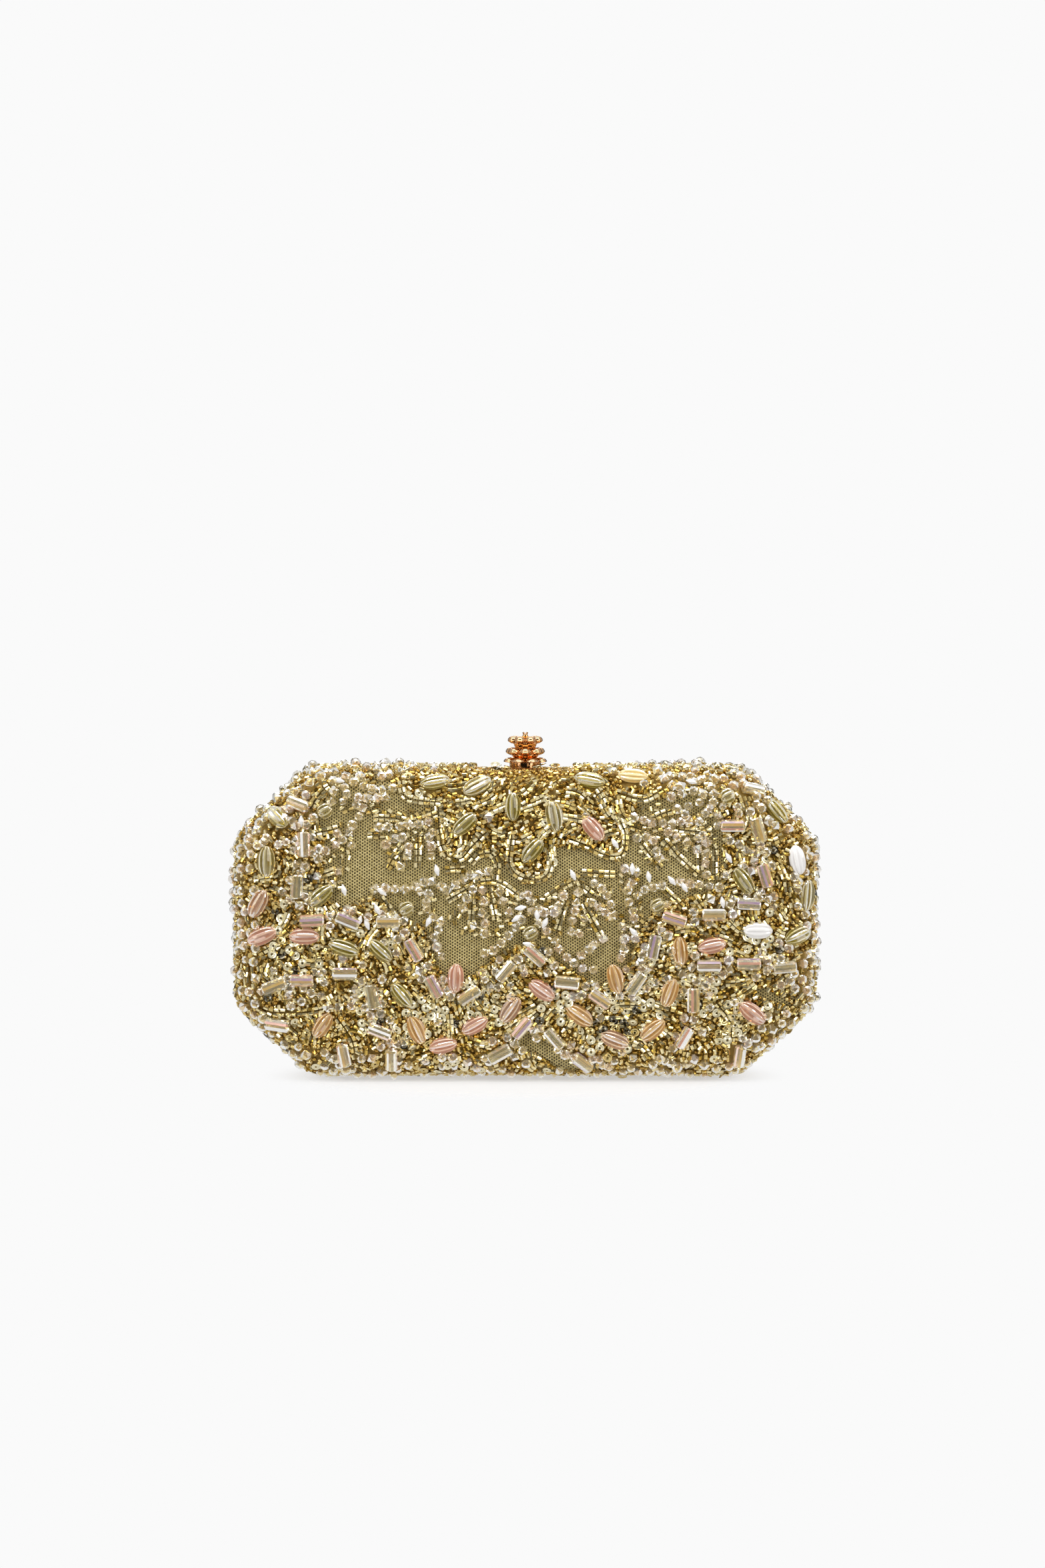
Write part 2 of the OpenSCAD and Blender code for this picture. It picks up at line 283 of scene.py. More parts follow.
def vary_color(mat, stops, scale, detail=3.0):
    """Colour that drifts between stops with a soft noise."""
    noise = texture(mat, "TexNoise", scale, Detail=detail)
    colors = ramp(mat, noise.outputs["Fac"], stops)
    mat.node_tree.links.new(colors.outputs["Color"], shader_of(mat).inputs["Base Color"])
    return noise


def add_bump(mat, source, strength, distance):
    bump = add_node(mat.node_tree, "Bump")
    bump.inputs["Strength"].default_value = strength
    bump.inputs["Distance"].default_value = distance
    mat.node_tree.links.new(source, bump.inputs["Height"])
    mat.node_tree.links.new(bump.outputs["Normal"], shader_of(mat).inputs["Normal"])


def metal_bead(name, color, rough=0.16):
    """Silver-lined glass: a mirror seen through coloured glass."""
    return principled(name, color, Metallic=0.8, Roughness=rough, Coat_Weight=0.7,
                      Coat_Roughness=0.03)


def glass_bead(name, color, clear=0.7, rough=0.04, film=0.0):
    mat = principled(name, color, Roughness=rough, IOR=1.52, Transmission_Weight=clear)
    if film:
        shader = shader_of(mat)
        shader.inputs["Thin Film Thickness"].default_value = film
        shader.inputs["Thin Film IOR"].default_value = 1.6
    return mat


SEED_TINTS = [
    metal_bead("seed_silver_lined", (0.88, 0.75, 0.41), 0.07),
    metal_bead("seed_champagne", (0.73, 0.54, 0.18), 0.09),
    metal_bead("seed_gold", (0.58, 0.38, 0.06), 0.10),
    metal_bead("seed_amber", (0.42, 0.24, 0.025), 0.12),
]
ROUND_TINTS = [
    metal_bead("round_champagne", (0.80, 0.61, 0.24), 0.12),
    metal_bead("round_gold", (0.62, 0.40, 0.08), 0.12),
    metal_bead("round_amber", (0.46, 0.26, 0.03), 0.14),
]
CRYSTAL_TINTS = [
    glass_bead("crystal_champagne", (0.98, 0.83, 0.48), 0.86, 0.05),
    glass_bead("crystal_peach", (0.98, 0.78, 0.50), 0.84, 0.05),
    glass_bead("crystal_clear", (0.97, 0.88, 0.62), 0.90, 0.04),
    glass_bead("crystal_rainbow", (1.0, 0.88, 0.80), 0.80, 0.03, 420.0),
    # An opaque white crystal, used only for the drops: a painted highlight
    glass_bead("crystal_painted_highlight_white", (0.98, 0.96, 0.94), 0.10, 0.03),
]
CRYSTAL_CHANCES = (0.45, 0.24, 0.26, 0.05, 0.0)
PAINTED_HIGHLIGHT_CRYSTAL = 4
SEQUIN_TINTS = [
    principled("sequin_pale", (0.84, 0.76, 0.50), Metallic=0.45, Roughness=0.16,
               Coat_Weight=1.0, Coat_Roughness=0.04),
    principled("sequin_gold", (0.66, 0.50, 0.18), Metallic=0.8, Roughness=0.14,
               Coat_Weight=1.0, Coat_Roughness=0.04),
    principled("sequin_dark", (0.10, 0.085, 0.05), Metallic=0.95, Roughness=0.08,
               Coat_Weight=1.0, Coat_Roughness=0.03),
]


def stone_material(name, color, second, clear, film):
    """Fluted glass: its tint drifts across the stone, and a thin film adds the shine."""
    mat = glass_bead(name, color, clear, 0.03, film)
    vary_color(mat, [(0.4, color), (0.6, second)], 420.0)
    return mat


# Each stone has a light tint on its ridges and a deep one, clearer, in its flutes, then its
# clearness and the thickness of its film. The split is painted light: the lighter, less clear ridges
# are painted highlights and the deeper flutes painted shade
RIDGE_CLEARNESS = 0.6
STONE_TINTS = {
    "olive": ((0.82, 0.70, 0.30), (0.46, 0.36, 0.05), 0.74, 0.0),
    "clear": ((0.92, 0.82, 0.48), (0.60, 0.48, 0.15), 0.78, 0.0),
    "pink": ((0.97, 0.68, 0.50), (0.84, 0.42, 0.27), 0.58, 250.0),
    "orange": ((0.95, 0.70, 0.34), (0.78, 0.42, 0.12), 0.60, 0.0),
    "mauve": ((0.95, 0.72, 0.48), (0.72, 0.40, 0.22), 0.66, 250.0),
    "yellow": ((0.99, 0.84, 0.46), (0.96, 0.70, 0.26), 0.4, 0.0),
    # White stones are painted highlights: opaque white where glare blows a stone out
    "white": ((0.98, 0.96, 0.93), (0.96, 0.93, 0.91), 0.1, 0.0),
}
STONE_MATERIALS = []
# Lit ridge and shaded flute copies of each stone's glass: painted highlight and painted shade
for name, (light, deep, clearness, film) in STONE_TINTS.items():
    for part, tint, other, share in (("ridge", light, deep, RIDGE_CLEARNESS),
                                     ("flute", deep, light, 1.0)):
        drifted = tuple(0.7 * c + 0.3 * d for c, d in zip(tint, other))
        STONE_MATERIALS.append(stone_material(f"stone_{name}_{part}", tint, drifted,
                                              share * clearness, film))
FACET_TINTS = [
    stone_material("facet_clear", (0.98, 0.88, 0.60), (0.88, 0.75, 0.40), 0.80, 0.0),
    stone_material("facet_lilac", (0.62, 0.46, 0.66), (0.74, 0.56, 0.64), 0.5, 300.0),
    stone_material("facet_rose", (0.94, 0.56, 0.40), (0.86, 0.44, 0.34), 0.5, 300.0),
    stone_material("facet_gold", (0.86, 0.64, 0.26), (0.80, 0.54, 0.20), 0.5, 0.0),
    stone_material("facet_smoke", (0.48, 0.44, 0.26), (0.60, 0.55, 0.34), 0.7, 0.0),
    # A facet painted white: a painted highlight
    stone_material("facet_painted_highlight", (0.98, 0.96, 0.93), (0.94, 0.92, 0.90), 0.1, 0.0),
]

# ---------------------------------------------------------------- mesh helpers
scene = bpy.context.scene


def make_object(name, verts, tris, slots, materials, smooth=False):
    """An object from millimetre vertices and triangles, with a material slot per triangle."""
    mesh = bpy.data.meshes.new(name)
    count = len(tris)
    mesh.vertices.add(len(verts))
    mesh.vertices.foreach_set("co", (np.asarray(verts) * MM).astype(np.float32).ravel())
    mesh.loops.add(count * 3)
    mesh.loops.foreach_set("vertex_index", np.asarray(tris, np.int32).ravel())
    mesh.polygons.add(count)
    mesh.polygons.foreach_set("loop_start", np.arange(count, dtype=np.int32) * 3)
    mesh.polygons.foreach_set("material_index", np.asarray(slots, np.int32))
    mesh.polygons.foreach_set("use_smooth", np.full(count, smooth))
    for mat in materials:
        mesh.materials.append(mat)
    mesh.update(calc_edges=True)
    mesh.validate()
    obj = bpy.data.objects.new(name, mesh)
    scene.collection.objects.link(obj)
    return obj


def quads(grid_shape, wrap=True, flip=False):
    """Triangles of a (rings, points) grid, closed round the points."""
    rings, n = grid_shape
    r, k = np.meshgrid(np.arange(rings - 1), np.arange(n if wrap else n - 1), indexing="ij")
    p = (r * n + k).ravel()
    q = (r * n + (k + 1) % n).ravel()
    tris = np.concatenate([np.stack([p, q, p + n], 1), np.stack([q, q + n, p + n], 1)])
    return tris[:, ::-1] if flip else tris


def dish(grid_shape):
    """Triangles of a (rings, points) grid whose last ring closes on one more point."""
    rings, n = grid_shape
    last = rings * n
    fan = [[last - n + k, last - n + (k + 1) % n, last] for k in range(n)]
    return np.concatenate([quads(grid_shape), np.array(fan)])


def polar(r, theta, z):
    """Points at radius r and height z round the Z axis."""
    return np.stack([r * np.cos(theta), r * np.sin(theta), np.broadcast_to(z, theta.shape)], 1)


def lathe(rings, n, twist=0.0):
    """A closed bead round X from rings of (x, radius) with n points, each ring turned by twist."""
    verts = []
    for i, (x, r) in enumerate(rings):
        t = 2 * math.pi * np.arange(n) / n + i * twist
        verts.append(np.stack([np.full(n, x), r * np.cos(t), r * np.sin(t)], 1))
    return np.concatenate(verts), quads((len(rings), n), flip=True)


def capped(verts, tris, n):
    """Closes the first and last ring of n points with a point at the middle of each."""
    first, last, count = verts[:n].mean(axis=0), verts[-n:].mean(axis=0), len(verts)
    caps = [[count, k, (k + 1) % n] for k in range(n)]
    caps += [[count + 1, count - n + (k + 1) % n, count - n + k] for k in range(n)]
    return np.vstack([verts, first, last]), np.concatenate([tris, np.array(caps)])


def one_tint(verts, tris):
    return verts, tris, np.zeros(len(tris), int)


def upright(verts, tris, slots):
    """Turns a template's axis from X to Z."""
    return verts[:, [1, 2, 0]], tris, slots


def cut_seed():
    """A six-sided cut bead with its hole, 1 long and 1 across, with an edge upwards."""
    verts, tris = lathe([(-0.5, 0.24), (-0.5, 0.5), (0.5, 0.5), (0.5, 0.24), (-0.5, 0.24)], 6)
    return one_tint(verts[:, [0, 2, 1]], tris[:, ::-1])


def round_seed():
    """A rounded seed bead with its hole."""
    return one_tint(*lathe([(-0.36, 0.2), (-0.34, 0.4), (0, 0.52), (0.34, 0.4), (0.36, 0.2),
                            (-0.36, 0.2)], 6))


def crystal():
    """A faceted round crystal: each band of facets is turned half a facet on."""
    n = 8
    rings = [(-0.48, 0.16), (-0.3, 0.4), (0.0, 0.5), (0.3, 0.4), (0.48, 0.16)]
    return one_tint(*capped(*lathe(rings, n, math.pi / n), n))


def bicone():
    """Two faceted cones, base to base."""
    n = 6
    rings = [(-0.52, 0.12), (-0.1, 0.5), (0.1, 0.5), (0.52, 0.12)]
    return one_tint(*capped(*lathe(rings, n, math.pi / n), n))


def sequin():
    """A cupped sequin with its hole, 1 across, its axis along Z."""
    rings = [(0.07, 0.13), (0.10, 0.22), (0.02, 0.36), (0.05, 0.5), (0.01, 0.5), (-0.02, 0.36),
             (0.05, 0.22), (0.03, 0.13), (0.07, 0.13)]
    return upright(*one_tint(*lathe(rings, 14)))


def marquise():
    """A pointed oval stone, fluted from tip to tip, with a fine hole through it.

    Round it run narrow ridges and hollow flutes. Each is made of strips that are smooth along
    their length and creased at their edges, and takes one of the stone's two tints: the ridges a
    lighter one as painted highlight, the flutes a deeper one as painted shade.
    """
    flutes, rings = 9, 13
    ridge, hollow = 0.15, 0.80
    pitch = 2 * math.pi / flutes
    edges = [(-ridge * pitch, 1.0), (ridge * pitch, 1.0), (pitch / 2, hollow),
             ((1 - ridge) * pitch, 1.0)]
    verts, tris, part = [], [], []
    for k in range(3 * flutes):
        flute, strip = divmod(k, 3)
        sides = [(flute * pitch + angle, reach) for angle, reach in edges[strip:strip + 2]]
        column = []
        for i in range(rings):
            x = -math.cos(math.pi * i / (rings - 1))
            r = 0.06 + 0.44 * (1 - abs(x) ** 2.7) ** 0.74
            column += [(x / 2, r * reach * math.cos(t), r * reach * math.sin(t))
                       for t, reach in sides]
        for x in (0.5, -0.5):
            column += [(x, 0.03 * math.cos(t), 0.03 * math.sin(t)) for t, _ in sides]
        column += column[:2]
        band = quads((rings + 3, 2), wrap=False, flip=True)
        tris.append(band + len(verts))
        part.append(np.full(len(band), min(strip, 1)))
        verts += column
    return np.array(verts), np.concatenate(tris), np.concatenate(part)


def tube():
    """A faceted tube bead with bevelled ends and a hole; each facet has its own tint."""
    n = 16
    rings = [(-0.5, 0.14), (-0.5, 0.36), (-0.44, 0.5), (0.44, 0.5), (0.5, 0.36), (0.5, 0.14),
             (-0.5, 0.14)]
    verts, tris = lathe(rings, n)
    facet = np.tile(np.arange(n), len(rings) - 1)
    return verts, tris, np.concatenate([facet, facet])


class Beads:
    """Beads of one kind, collected as positions, axes, sizes and tints."""

    def __init__(self, name, template, tints, pattern=None, smooth=False):
        """Pattern gives the material of each facet from the bead's tint and the facet."""
        self.name, self.template, self.tints = name, template, tints
        self.pattern, self.smooth = pattern, smooth
        self.pos, self.axes, self.size, self.tint = [], [], [], []

    def add(self, pos, along, up, size, tint):
        """One bead: its length runs along, its top faces up."""
        up = up / np.linalg.norm(up)
        along = along - up * (along @ up)
        along = along / np.linalg.norm(along)
        self.pos.append(pos)
        self.axes.append(np.stack([along, np.cross(up, along), up], axis=1))
        self.size.append(size)
        self.tint.append(tint)

    def objects(self):
        """Joined meshes of at most TRI_LIMIT triangles each."""
        verts, tris, facet = self.template
        made = []
        per_mesh = max(1, TRI_LIMIT // len(tris))
        for first in range(0, len(self.pos), per_mesh):
            part = slice(first, first + per_mesh)
            pos, axes = np.array(self.pos[part]), np.array(self.axes[part])
            size, tint = np.array(self.size[part]), np.array(self.tint[part])
            v = np.einsum("nij,nvj->nvi", axes, verts[None] * size[:, None, :]) + pos[:, None, :]
            # Nothing reaches below the table
            v[..., 2] += np.clip(TABLE_GAP - v[..., 2].min(axis=1), 0, None)[:, None]
            t = tris[None] + (np.arange(len(pos)) * len(verts))[:, None, None]
            if self.pattern:
                slots = self.pattern(tint[:, None], facet[None])
            else:
                slots = np.repeat(tint, len(tris))
            name = self.name if len(self.pos) <= per_mesh else f"{self.name}_{len(made) + 1}"
            made.append(make_object("front_" + name, v.reshape(-1, 3), t.reshape(-1, 3),
                                    slots.ravel(), self.tints, self.smooth))
        return made


# Tints met going round a tube: mostly clear, with stretches that are more strongly coloured, and
# facets of tint 5 painted white as highlights
FACET_PATTERN = np.array([0, 0, 4, 0, 5, 0, 0, 3, 0, 0, 4, 0, 0, 2, 0, 0,
                          5, 0, 2, 0, 3, 0, 0, 4, 1, 0, 0, 5, 4, 0, 3, 0,
                          2, 0, 1, 3, 0, 2, 5, 0, 3, 2, 0, 1, 0, 2, 4, 0])


def tube_pattern(tint, facet):
    return FACET_PATTERN[(tint + facet) % len(FACET_PATTERN)]


def stone_pattern(tint, side):
    return 2 * tint + side


def dress(front, node):
    """Puts a finished front piece on the front half and its half-turned twin on the rear."""
    rear = bpy.data.objects.new(front.name.replace("front_", "rear_"), front.data)
    rear.rotation_euler = (0, 0, math.pi)
    scene.collection.objects.link(rear)
    for obj, half in ((front, "front"), (rear, "rear")):
        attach(obj, half + "_half")
        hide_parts(f"{half}_{node}")
    return front, rear


# ---------------------------------------------------------------- the embroidery's design
# Face points are (x, z) in millimetres on a 190 by 102 face; angles are degrees from +X.
# Stones tinted white are painted highlights, set where glare blows a stone out
MARQUISES = [
    (-79, 84.5, -45, "olive"), (-83.2, 71, 90, "clear"), (-85.5, 57.5, 60, "mauve"),
    (-65.7, 60, 40, "olive"), (-29, 95.5, 15, "olive"), (-15.5, 94.5, 35, "clear"),
    (-4, 88.5, 90, "olive"), (9.3, 85.5, -80, "clear"), (20.8, 96, -18, "olive"),
    (34.7, 97, -12, "yellow"), (-19.5, 83, 42, "olive"), (2.3, 74.5, 50, "olive"),
    (21.8, 81.5, -50, "pink"), (80, 86, -62, "olive"), (86.8, 71.5, -75, "white"),
    (70.2, 65, -55, "olive"), (89.5, 60, 80, "clear"),
    (-84.5, 47, 22, "pink"), (-71, 47, 0, "pink"), (-58.3, 43.3, -18, "olive"),
    (-46.5, 42.5, -42, "olive"), (-39.8, 28.2, -50, "olive"), (-35, 17, -65, "orange"),
    (-26.5, 11.8, 12, "pink"), (-16.2, 18.5, 30, "pink"), (-4.8, 23.5, 55, "mauve"),
    (5.3, 29.8, -35, "pink"), (17.4, 21.7, -35, "orange"), (28.8, 13.8, -22, "mauve"),
    (41, 17, 40, "orange"), (46.3, 29, 70, "orange"), (49.7, 42.3, 95, "orange"),
    (60, 44, 12, "pink"), (74.8, 48.8, 0, "white"), (87, 47.2, 20, "olive"),
    (-22.3, 33.7, 88, "pink"), (29, 33.5, -75, "orange"), (-65.2, 18.3, 55, "orange"),
    (73, 22.3, -38, "pink"),
]
TUBES = [
    (-72.5, 88.8, -25), (-71.2, 76.5, -88), (-73.5, 63, 88), (-68.5, 52, 3), (-57, 52, -22),
    (-44, 51.7, 0), (-35.8, 42.7, -60), (-29.5, 31, -62), (-18, 28.2, 33), (-6.3, 36, 50),
    (3.2, 41, -42), (13.3, 32.3, -6), (24, 27, -35), (35.5, 32, 55), (41.2, 43.7, 78),
    (47.8, 52.7, -18), (60.5, 54, 0), (71.8, 57.5, -3), (77, 66.5, -72), (74.8, 81, -75),
    (72.3, 93, 12), (66.5, 82.5, 0),
    (-80.7, 30.8, 22), (-71.8, 32.8, 0), (-58, 35, 0), (-49.2, 27.6, -80), (-47, 16.5, -22),
    (-43.2, 8, 90), (-79.2, 19, 0), (-58.5, 9.2, -80), (-8.2, 9.6, 32), (-1, 17.7, 50),
    (9.3, 14.2, -50), (18.3, 7.2, -48), (83.5, 37, 5), (71.8, 38, 0), (59, 37.5, 0),
    (54, 26.5, 90), (51.3, 14.5, 60), (68.5, 9, 90),
]
ROUND_STONES = [(-64.5, 87.3), (-38.2, 56), (1.7, 48.2), (42.5, 57), (65, 91.8)]
CRYSTAL_STRANDS = [
    [(-69, 100), (-64, 97), (-59, 95)], [(-58, 97), (-50, 94), (-43, 94)],
    [(-57, 92), (-51, 91), (-45, 91)], [(-52, 88), (-55, 83), (-59, 78), (-66, 73)],
    [(-47, 82), (-40, 82.5), (-31, 84)], [(-45, 76), (-41, 79), (-37, 77), (-38, 73), (-40, 70)],
    [(-31, 79), (-31, 73)], [(-48, 62), (-38, 62.5), (-31, 65), (-27, 63)],
    [(-31, 61), (-32, 55), (-27, 52), (-29, 46), (-27, 41)],
    [(-25, 62), (-18, 66.5), (-12, 68)], [(-17, 62), (-20, 56)], [(-13.5, 62), (-13, 48)],
    [(-8.5, 61.5), (-5, 55)], [(1, 61), (2, 56), (-2, 52), (-5, 48), (-9, 44), (-13, 41)],
    [(6, 55), (6, 50), (9, 46), (12, 42), (15, 39), (19, 37), (22, 37)],
    [(12, 60.5), (9, 54)], [(17, 61), (15, 49)], [(22, 64), (27, 60), (28, 54)],
    [(22, 58), (26, 55)], [(34, 68), (33, 60), (35, 53), (32, 46), (31, 40)],
    [(38, 62), (47, 64), (55, 64), (62, 63)], [(35, 85), (42, 83), (50, 83.5), (56, 84)],
    [(36, 79), (41, 78), (43, 72)], [(46, 80), (51, 78), (55, 75)], [(58, 77), (58.5, 64)],
    [(47, 97), (54, 96), (61, 96), (67, 98)], [(47, 92), (54, 93), (61, 92)],
    [(49, 88), (56, 89), (62, 86), (62, 83)], [(25, 46), (20, 43), (18, 41)],
    [(66, 78), (73, 74), (76, 76)],
]
# Bright white cut drops, as (x, z, angle): their white is a painted highlight, set where glints fall
HIGHLIGHT_DROPS = [
    (-28.4, 68.3, 105), (-46, 61.5, -40), (-47.5, 55.8, -65), (-53.3, 52, 70), (-50.8, 51, 110),
    (-31, 52, 65), (-1.5, 56.3, 10), (-2.8, 53, 35), (3.8, 54, 95), (6.3, 51.5, 65),
    (15.3, 66.8, -65), (34.3, 68.8, 90), (39.6, 66.2, 100), (47, 65, -50), (51, 63, -60),
    (34.8, 48.5, -45), (28.8, 76.8, -55), (-72, 84, 90), (53.5, 95.3, -20), (65.3, 72.2, 120),
    (63.3, 58, 100), (-58.2, 62, -75), (1, 44.6, -15), (-60, 95.6, -20),
]
SEED_ROWS = [
    [(-48, 85), (-43, 85), (-36, 84), (-29, 86)], [(-50, 79.5), (-42, 80)],
    [(-40, 76), (-42, 73), (-44, 69.5)], [(-34.5, 78), (-34.5, 70)], [(-25, 68.5), (-20, 68.8)],
    [(-17, 71), (-15, 73), (-11, 73.5), (-9, 70), (-9.5, 66)],
    [(-24.5, 59), (-20, 61.5), (-15, 64.3), (-9, 64.5), (-2.5, 60.5)],
    [(-17, 60), (-17.5, 50)], [(-11.5, 62), (-9.5, 53)], [(7.5, 60), (12, 63), (16, 65)],
    [(19, 67.5), (28, 67)], [(19.5, 62), (27, 56.5)], [(13, 58), (10.5, 50)],
    [(19, 57), (24, 48)], [(41, 85), (46, 87), (52, 88.5)],
    [(33, 82.5), (39, 81), (44, 82), (52, 81), (59, 80.5)], [(44, 79), (49, 73), (55, 67.5)],
    [(38, 76), (43, 69.5)], [(56, 73), (56.3, 65)], [(61, 74), (61, 66)],
    [(-40, 97), (-39, 92), (-34, 90.5), (-28, 90)],
    [(-28, 88), (-27.5, 80), (-26, 74), (-21, 72), (-17, 76), (-13, 80)],
    [(-4.5, 79), (-5, 70), (-1, 66), (5, 65.5), (8, 69), (7.5, 76)],
    [(15, 78), (20, 76), (26, 73), (31, 73.5), (32, 80), (29, 87)],
    [(30, 92.5), (38, 91), (45, 94)],
    [(-88, 38), (-87, 27), (-82, 23), (-72, 22.5), (-62, 24)],
    [(-60, 20), (-56, 14), (-54, 6), (-50, 3.5), (-38, 4.5)],
    [(77, 22.5), (90, 21.5)], [(62, 25), (66, 19), (66, 8)], [(45, 5.5), (58, 3.5), (63, 5)],
    [(-68, 80), (-61, 81.5)], [(-68, 66), (-62, 68)], [(44, 63), (50, 57)], [(-46, 59), (-43, 55)],
]
# Where the net shows: everywhere else is packed with seed beads
NET_WINDOWS = [
    [(-68, 86), (-64, 78), (-66, 60), (-57, 56), (-50, 60), (-42, 55), (-33, 50), (-28, 36),
     (-21, 32), (-10, 40), (1, 46), (12, 38), (24, 31), (31, 34), (38, 50), (44, 58), (56, 60),
     (62, 62), (64, 72), (64, 90), (56, 94), (46, 92), (36, 90), (33, 80), (30, 71), (20, 75),
     (10, 76), (8, 66), (0, 64), (-6, 70), (-9, 74), (-16, 76), (-20, 71), (-27, 73),
     (-28, 89), (-38, 91), (-44, 96), (-60, 99)],
    [(-6, 11), (1, 17), (6, 14), (14, 8), (19, 4), (12, 3), (5, 8), (0, 11)],
    [(71, 31), (80, 29), (88, 24), (78, 26)],
]

# Patches where crystals crowd together
CRYSTAL_PATCHES = [
    [(-80, 92), (-70, 101), (-60, 101), (-58, 94), (-63, 86), (-68, 82), (-76, 84)],
    [(-60, 99), (-42, 98), (-42, 93), (-56, 89)],
    [(44, 99), (68, 101), (68, 90), (58, 86), (46, 89)],
    [(70, 100), (84, 92), (92, 80), (92, 62), (86, 60), (84, 78), (76, 84), (72, 92)],
    [(-94, 82), (-88, 88), (-82, 84), (-84, 66), (-94, 62)],
    [(-94, 56), (-88, 56), (-89, 26), (-94, 26)],
    [(-88, 30), (-46, 30), (-44, 24), (-88, 24)],
    [(-80, 16), (-72, 10), (-44, 10), (-38, 3), (-70, 2), (-84, 12)],
    [(-14, 2), (-14, 8), (-3, 13), (4, 5), (20, 5), (26, 8), (58, 8), (60, 2)],
    [(36, 42), (92, 44), (92, 32), (56, 33), (38, 33)],
    [(76, 22), (92, 24), (92, 12), (80, 6), (72, 12)],
    [(-78, 80), (-66, 80), (-66, 58), (-78, 58)],
    [(62, 72), (80, 74), (80, 56), (62, 58)],
]
# Parts of the net where loose seeds and crystals lie between the rows
NET_SPRAYS = [
    [(-63, 97), (-44, 98), (-42, 91), (-49, 86), (-58, 86), (-64, 90)],
    [(-50, 87), (-30, 88), (-29, 79), (-34, 75), (-38, 69), (-42, 70), (-46, 77), (-50, 79)],
    [(36, 88), (46, 90), (58, 85), (60, 79), (48, 72), (40, 70), (35, 77)],
    [(-25, 63), (-14, 68), (-3, 62), (-6, 52), (-12, 46), (-20, 48), (-26, 55)],
    [(7, 60), (16, 67), (28, 62), (29, 53), (18, 47), (10, 50)],
    [(-34, 66), (-29, 68), (-27, 40), (-34, 48)], [(30, 70), (36, 70), (38, 52), (31, 38)],
    [(-12, 46), (0, 62), (8, 58), (14, 42), (1, 48)], [(54, 92), (64, 90), (64, 62), (56, 64)],
    [(-64, 82), (-54, 84), (-58, 62), (-66, 62)],
]
# Where loose sequins lie thickly, as circles of (x, z, radius)
SEQUIN_FIELDS = [
    (-57, 70, 5), (-79, 55, 4), (-76, 40, 7), (-65, 38, 5), (-50, 20, 6), (-31, 20, 9),
    (-24, 8, 6), (-12, 24, 6), (9, 24, 7), (30, 20, 9), (38, 30, 6), (56, 30, 8), (66, 20, 6),
    (76, 42, 7), (79, 73, 4), (82, 53, 4), (50, 43, 3), (20, 12, 5), (-40, 14, 5),
]


def in_polygon(p, polygon):
    """Which points lie inside the polygon, by counting crossings."""
    inside = np.zeros(len(p), bool)
    for (x0, z0), (x1, z1) in zip(polygon, polygon[1:] + polygon[:1]):
        crosses = (z0 > p[:, 1]) != (z1 > p[:, 1])
        at = x0 + (p[:, 1] - z0) * (x1 - x0) / ((z1 - z0) or 1e-9)
        inside ^= crosses & (p[:, 0] < at)
    return inside


def in_window(p):
    return np.any([in_polygon(p, w) for w in NET_WINDOWS], axis=0)


def smooth_path(points, step):
    """Points every step along a Catmull-Rom curve through the given points, with directions."""
    p = np.array(points, float)
    p = np.vstack([2 * p[0] - p[1], p, 2 * p[-1] - p[-2]])
    fine = []
    for i in range(1, len(p) - 2):
        for t in np.linspace(0, 1, 16, endpoint=False):
            fine.append(0.5 * (2 * p[i] + (p[i + 1] - p[i - 1]) * t
                               + (2 * p[i - 1] - 5 * p[i] + 4 * p[i + 1] - p[i + 2]) * t ** 2
                               + (3 * p[i] - p[i - 1] - 3 * p[i + 1] + p[i + 2]) * t ** 3))
    fine = np.array(fine + [p[-2]])
    run = np.concatenate([[0], np.cumsum(np.linalg.norm(np.diff(fine, axis=0), axis=1))])
    count = max(2, int(round(run[-1] / step)) + 1)
    at = np.linspace(0, run[-1], count)
    out = np.stack([np.interp(at, run, fine[:, k]) for k in (0, 1)], axis=1)
    ahead = np.stack([np.interp(np.minimum(at + 0.2, run[-1]), run, fine[:, k])
                      - np.interp(np.maximum(at - 0.2, 0), run, fine[:, k]) for k in (0, 1)], 1)
    return out, ahead / np.linalg.norm(ahead, axis=1)[:, None]


class Claimed:
    """Which face points are already covered by a bead, on a fine grid."""

    def __init__(self, cell=0.3):
        self.cell = cell
        self.size = (int(BAG_W / cell) + 40, int(BAG_H / cell) + 40)
        self.grid = np.zeros(self.size, bool)

    def _index(self, x, z):
        return (((x + BAG_W / 2) / self.cell + 20).astype(int).clip(0, self.size[0] - 1),
                ((z / self.cell) + 20).astype(int).clip(0, self.size[1] - 1))

    def mark(self, x, z, angle, length, width):
        reach = max(length, width) / 2
        g = np.arange(-reach, reach + self.cell, self.cell * 0.8)
        u, v = np.meshgrid(g, g)
        keep = (u / (length / 2)) ** 2 + (v / (width / 2)) ** 2 <= 1
        c, s = math.cos(angle), math.sin(angle)
        u, v = u[keep], v[keep]
        i, k = self._index(x + u * c - v * s, z + u * s + v * c)
        self.grid[i, k] = True

    def has(self, x, z):
        i, k = self._index(np.atleast_1d(x), np.atleast_1d(z))
        return self.grid[i, k]


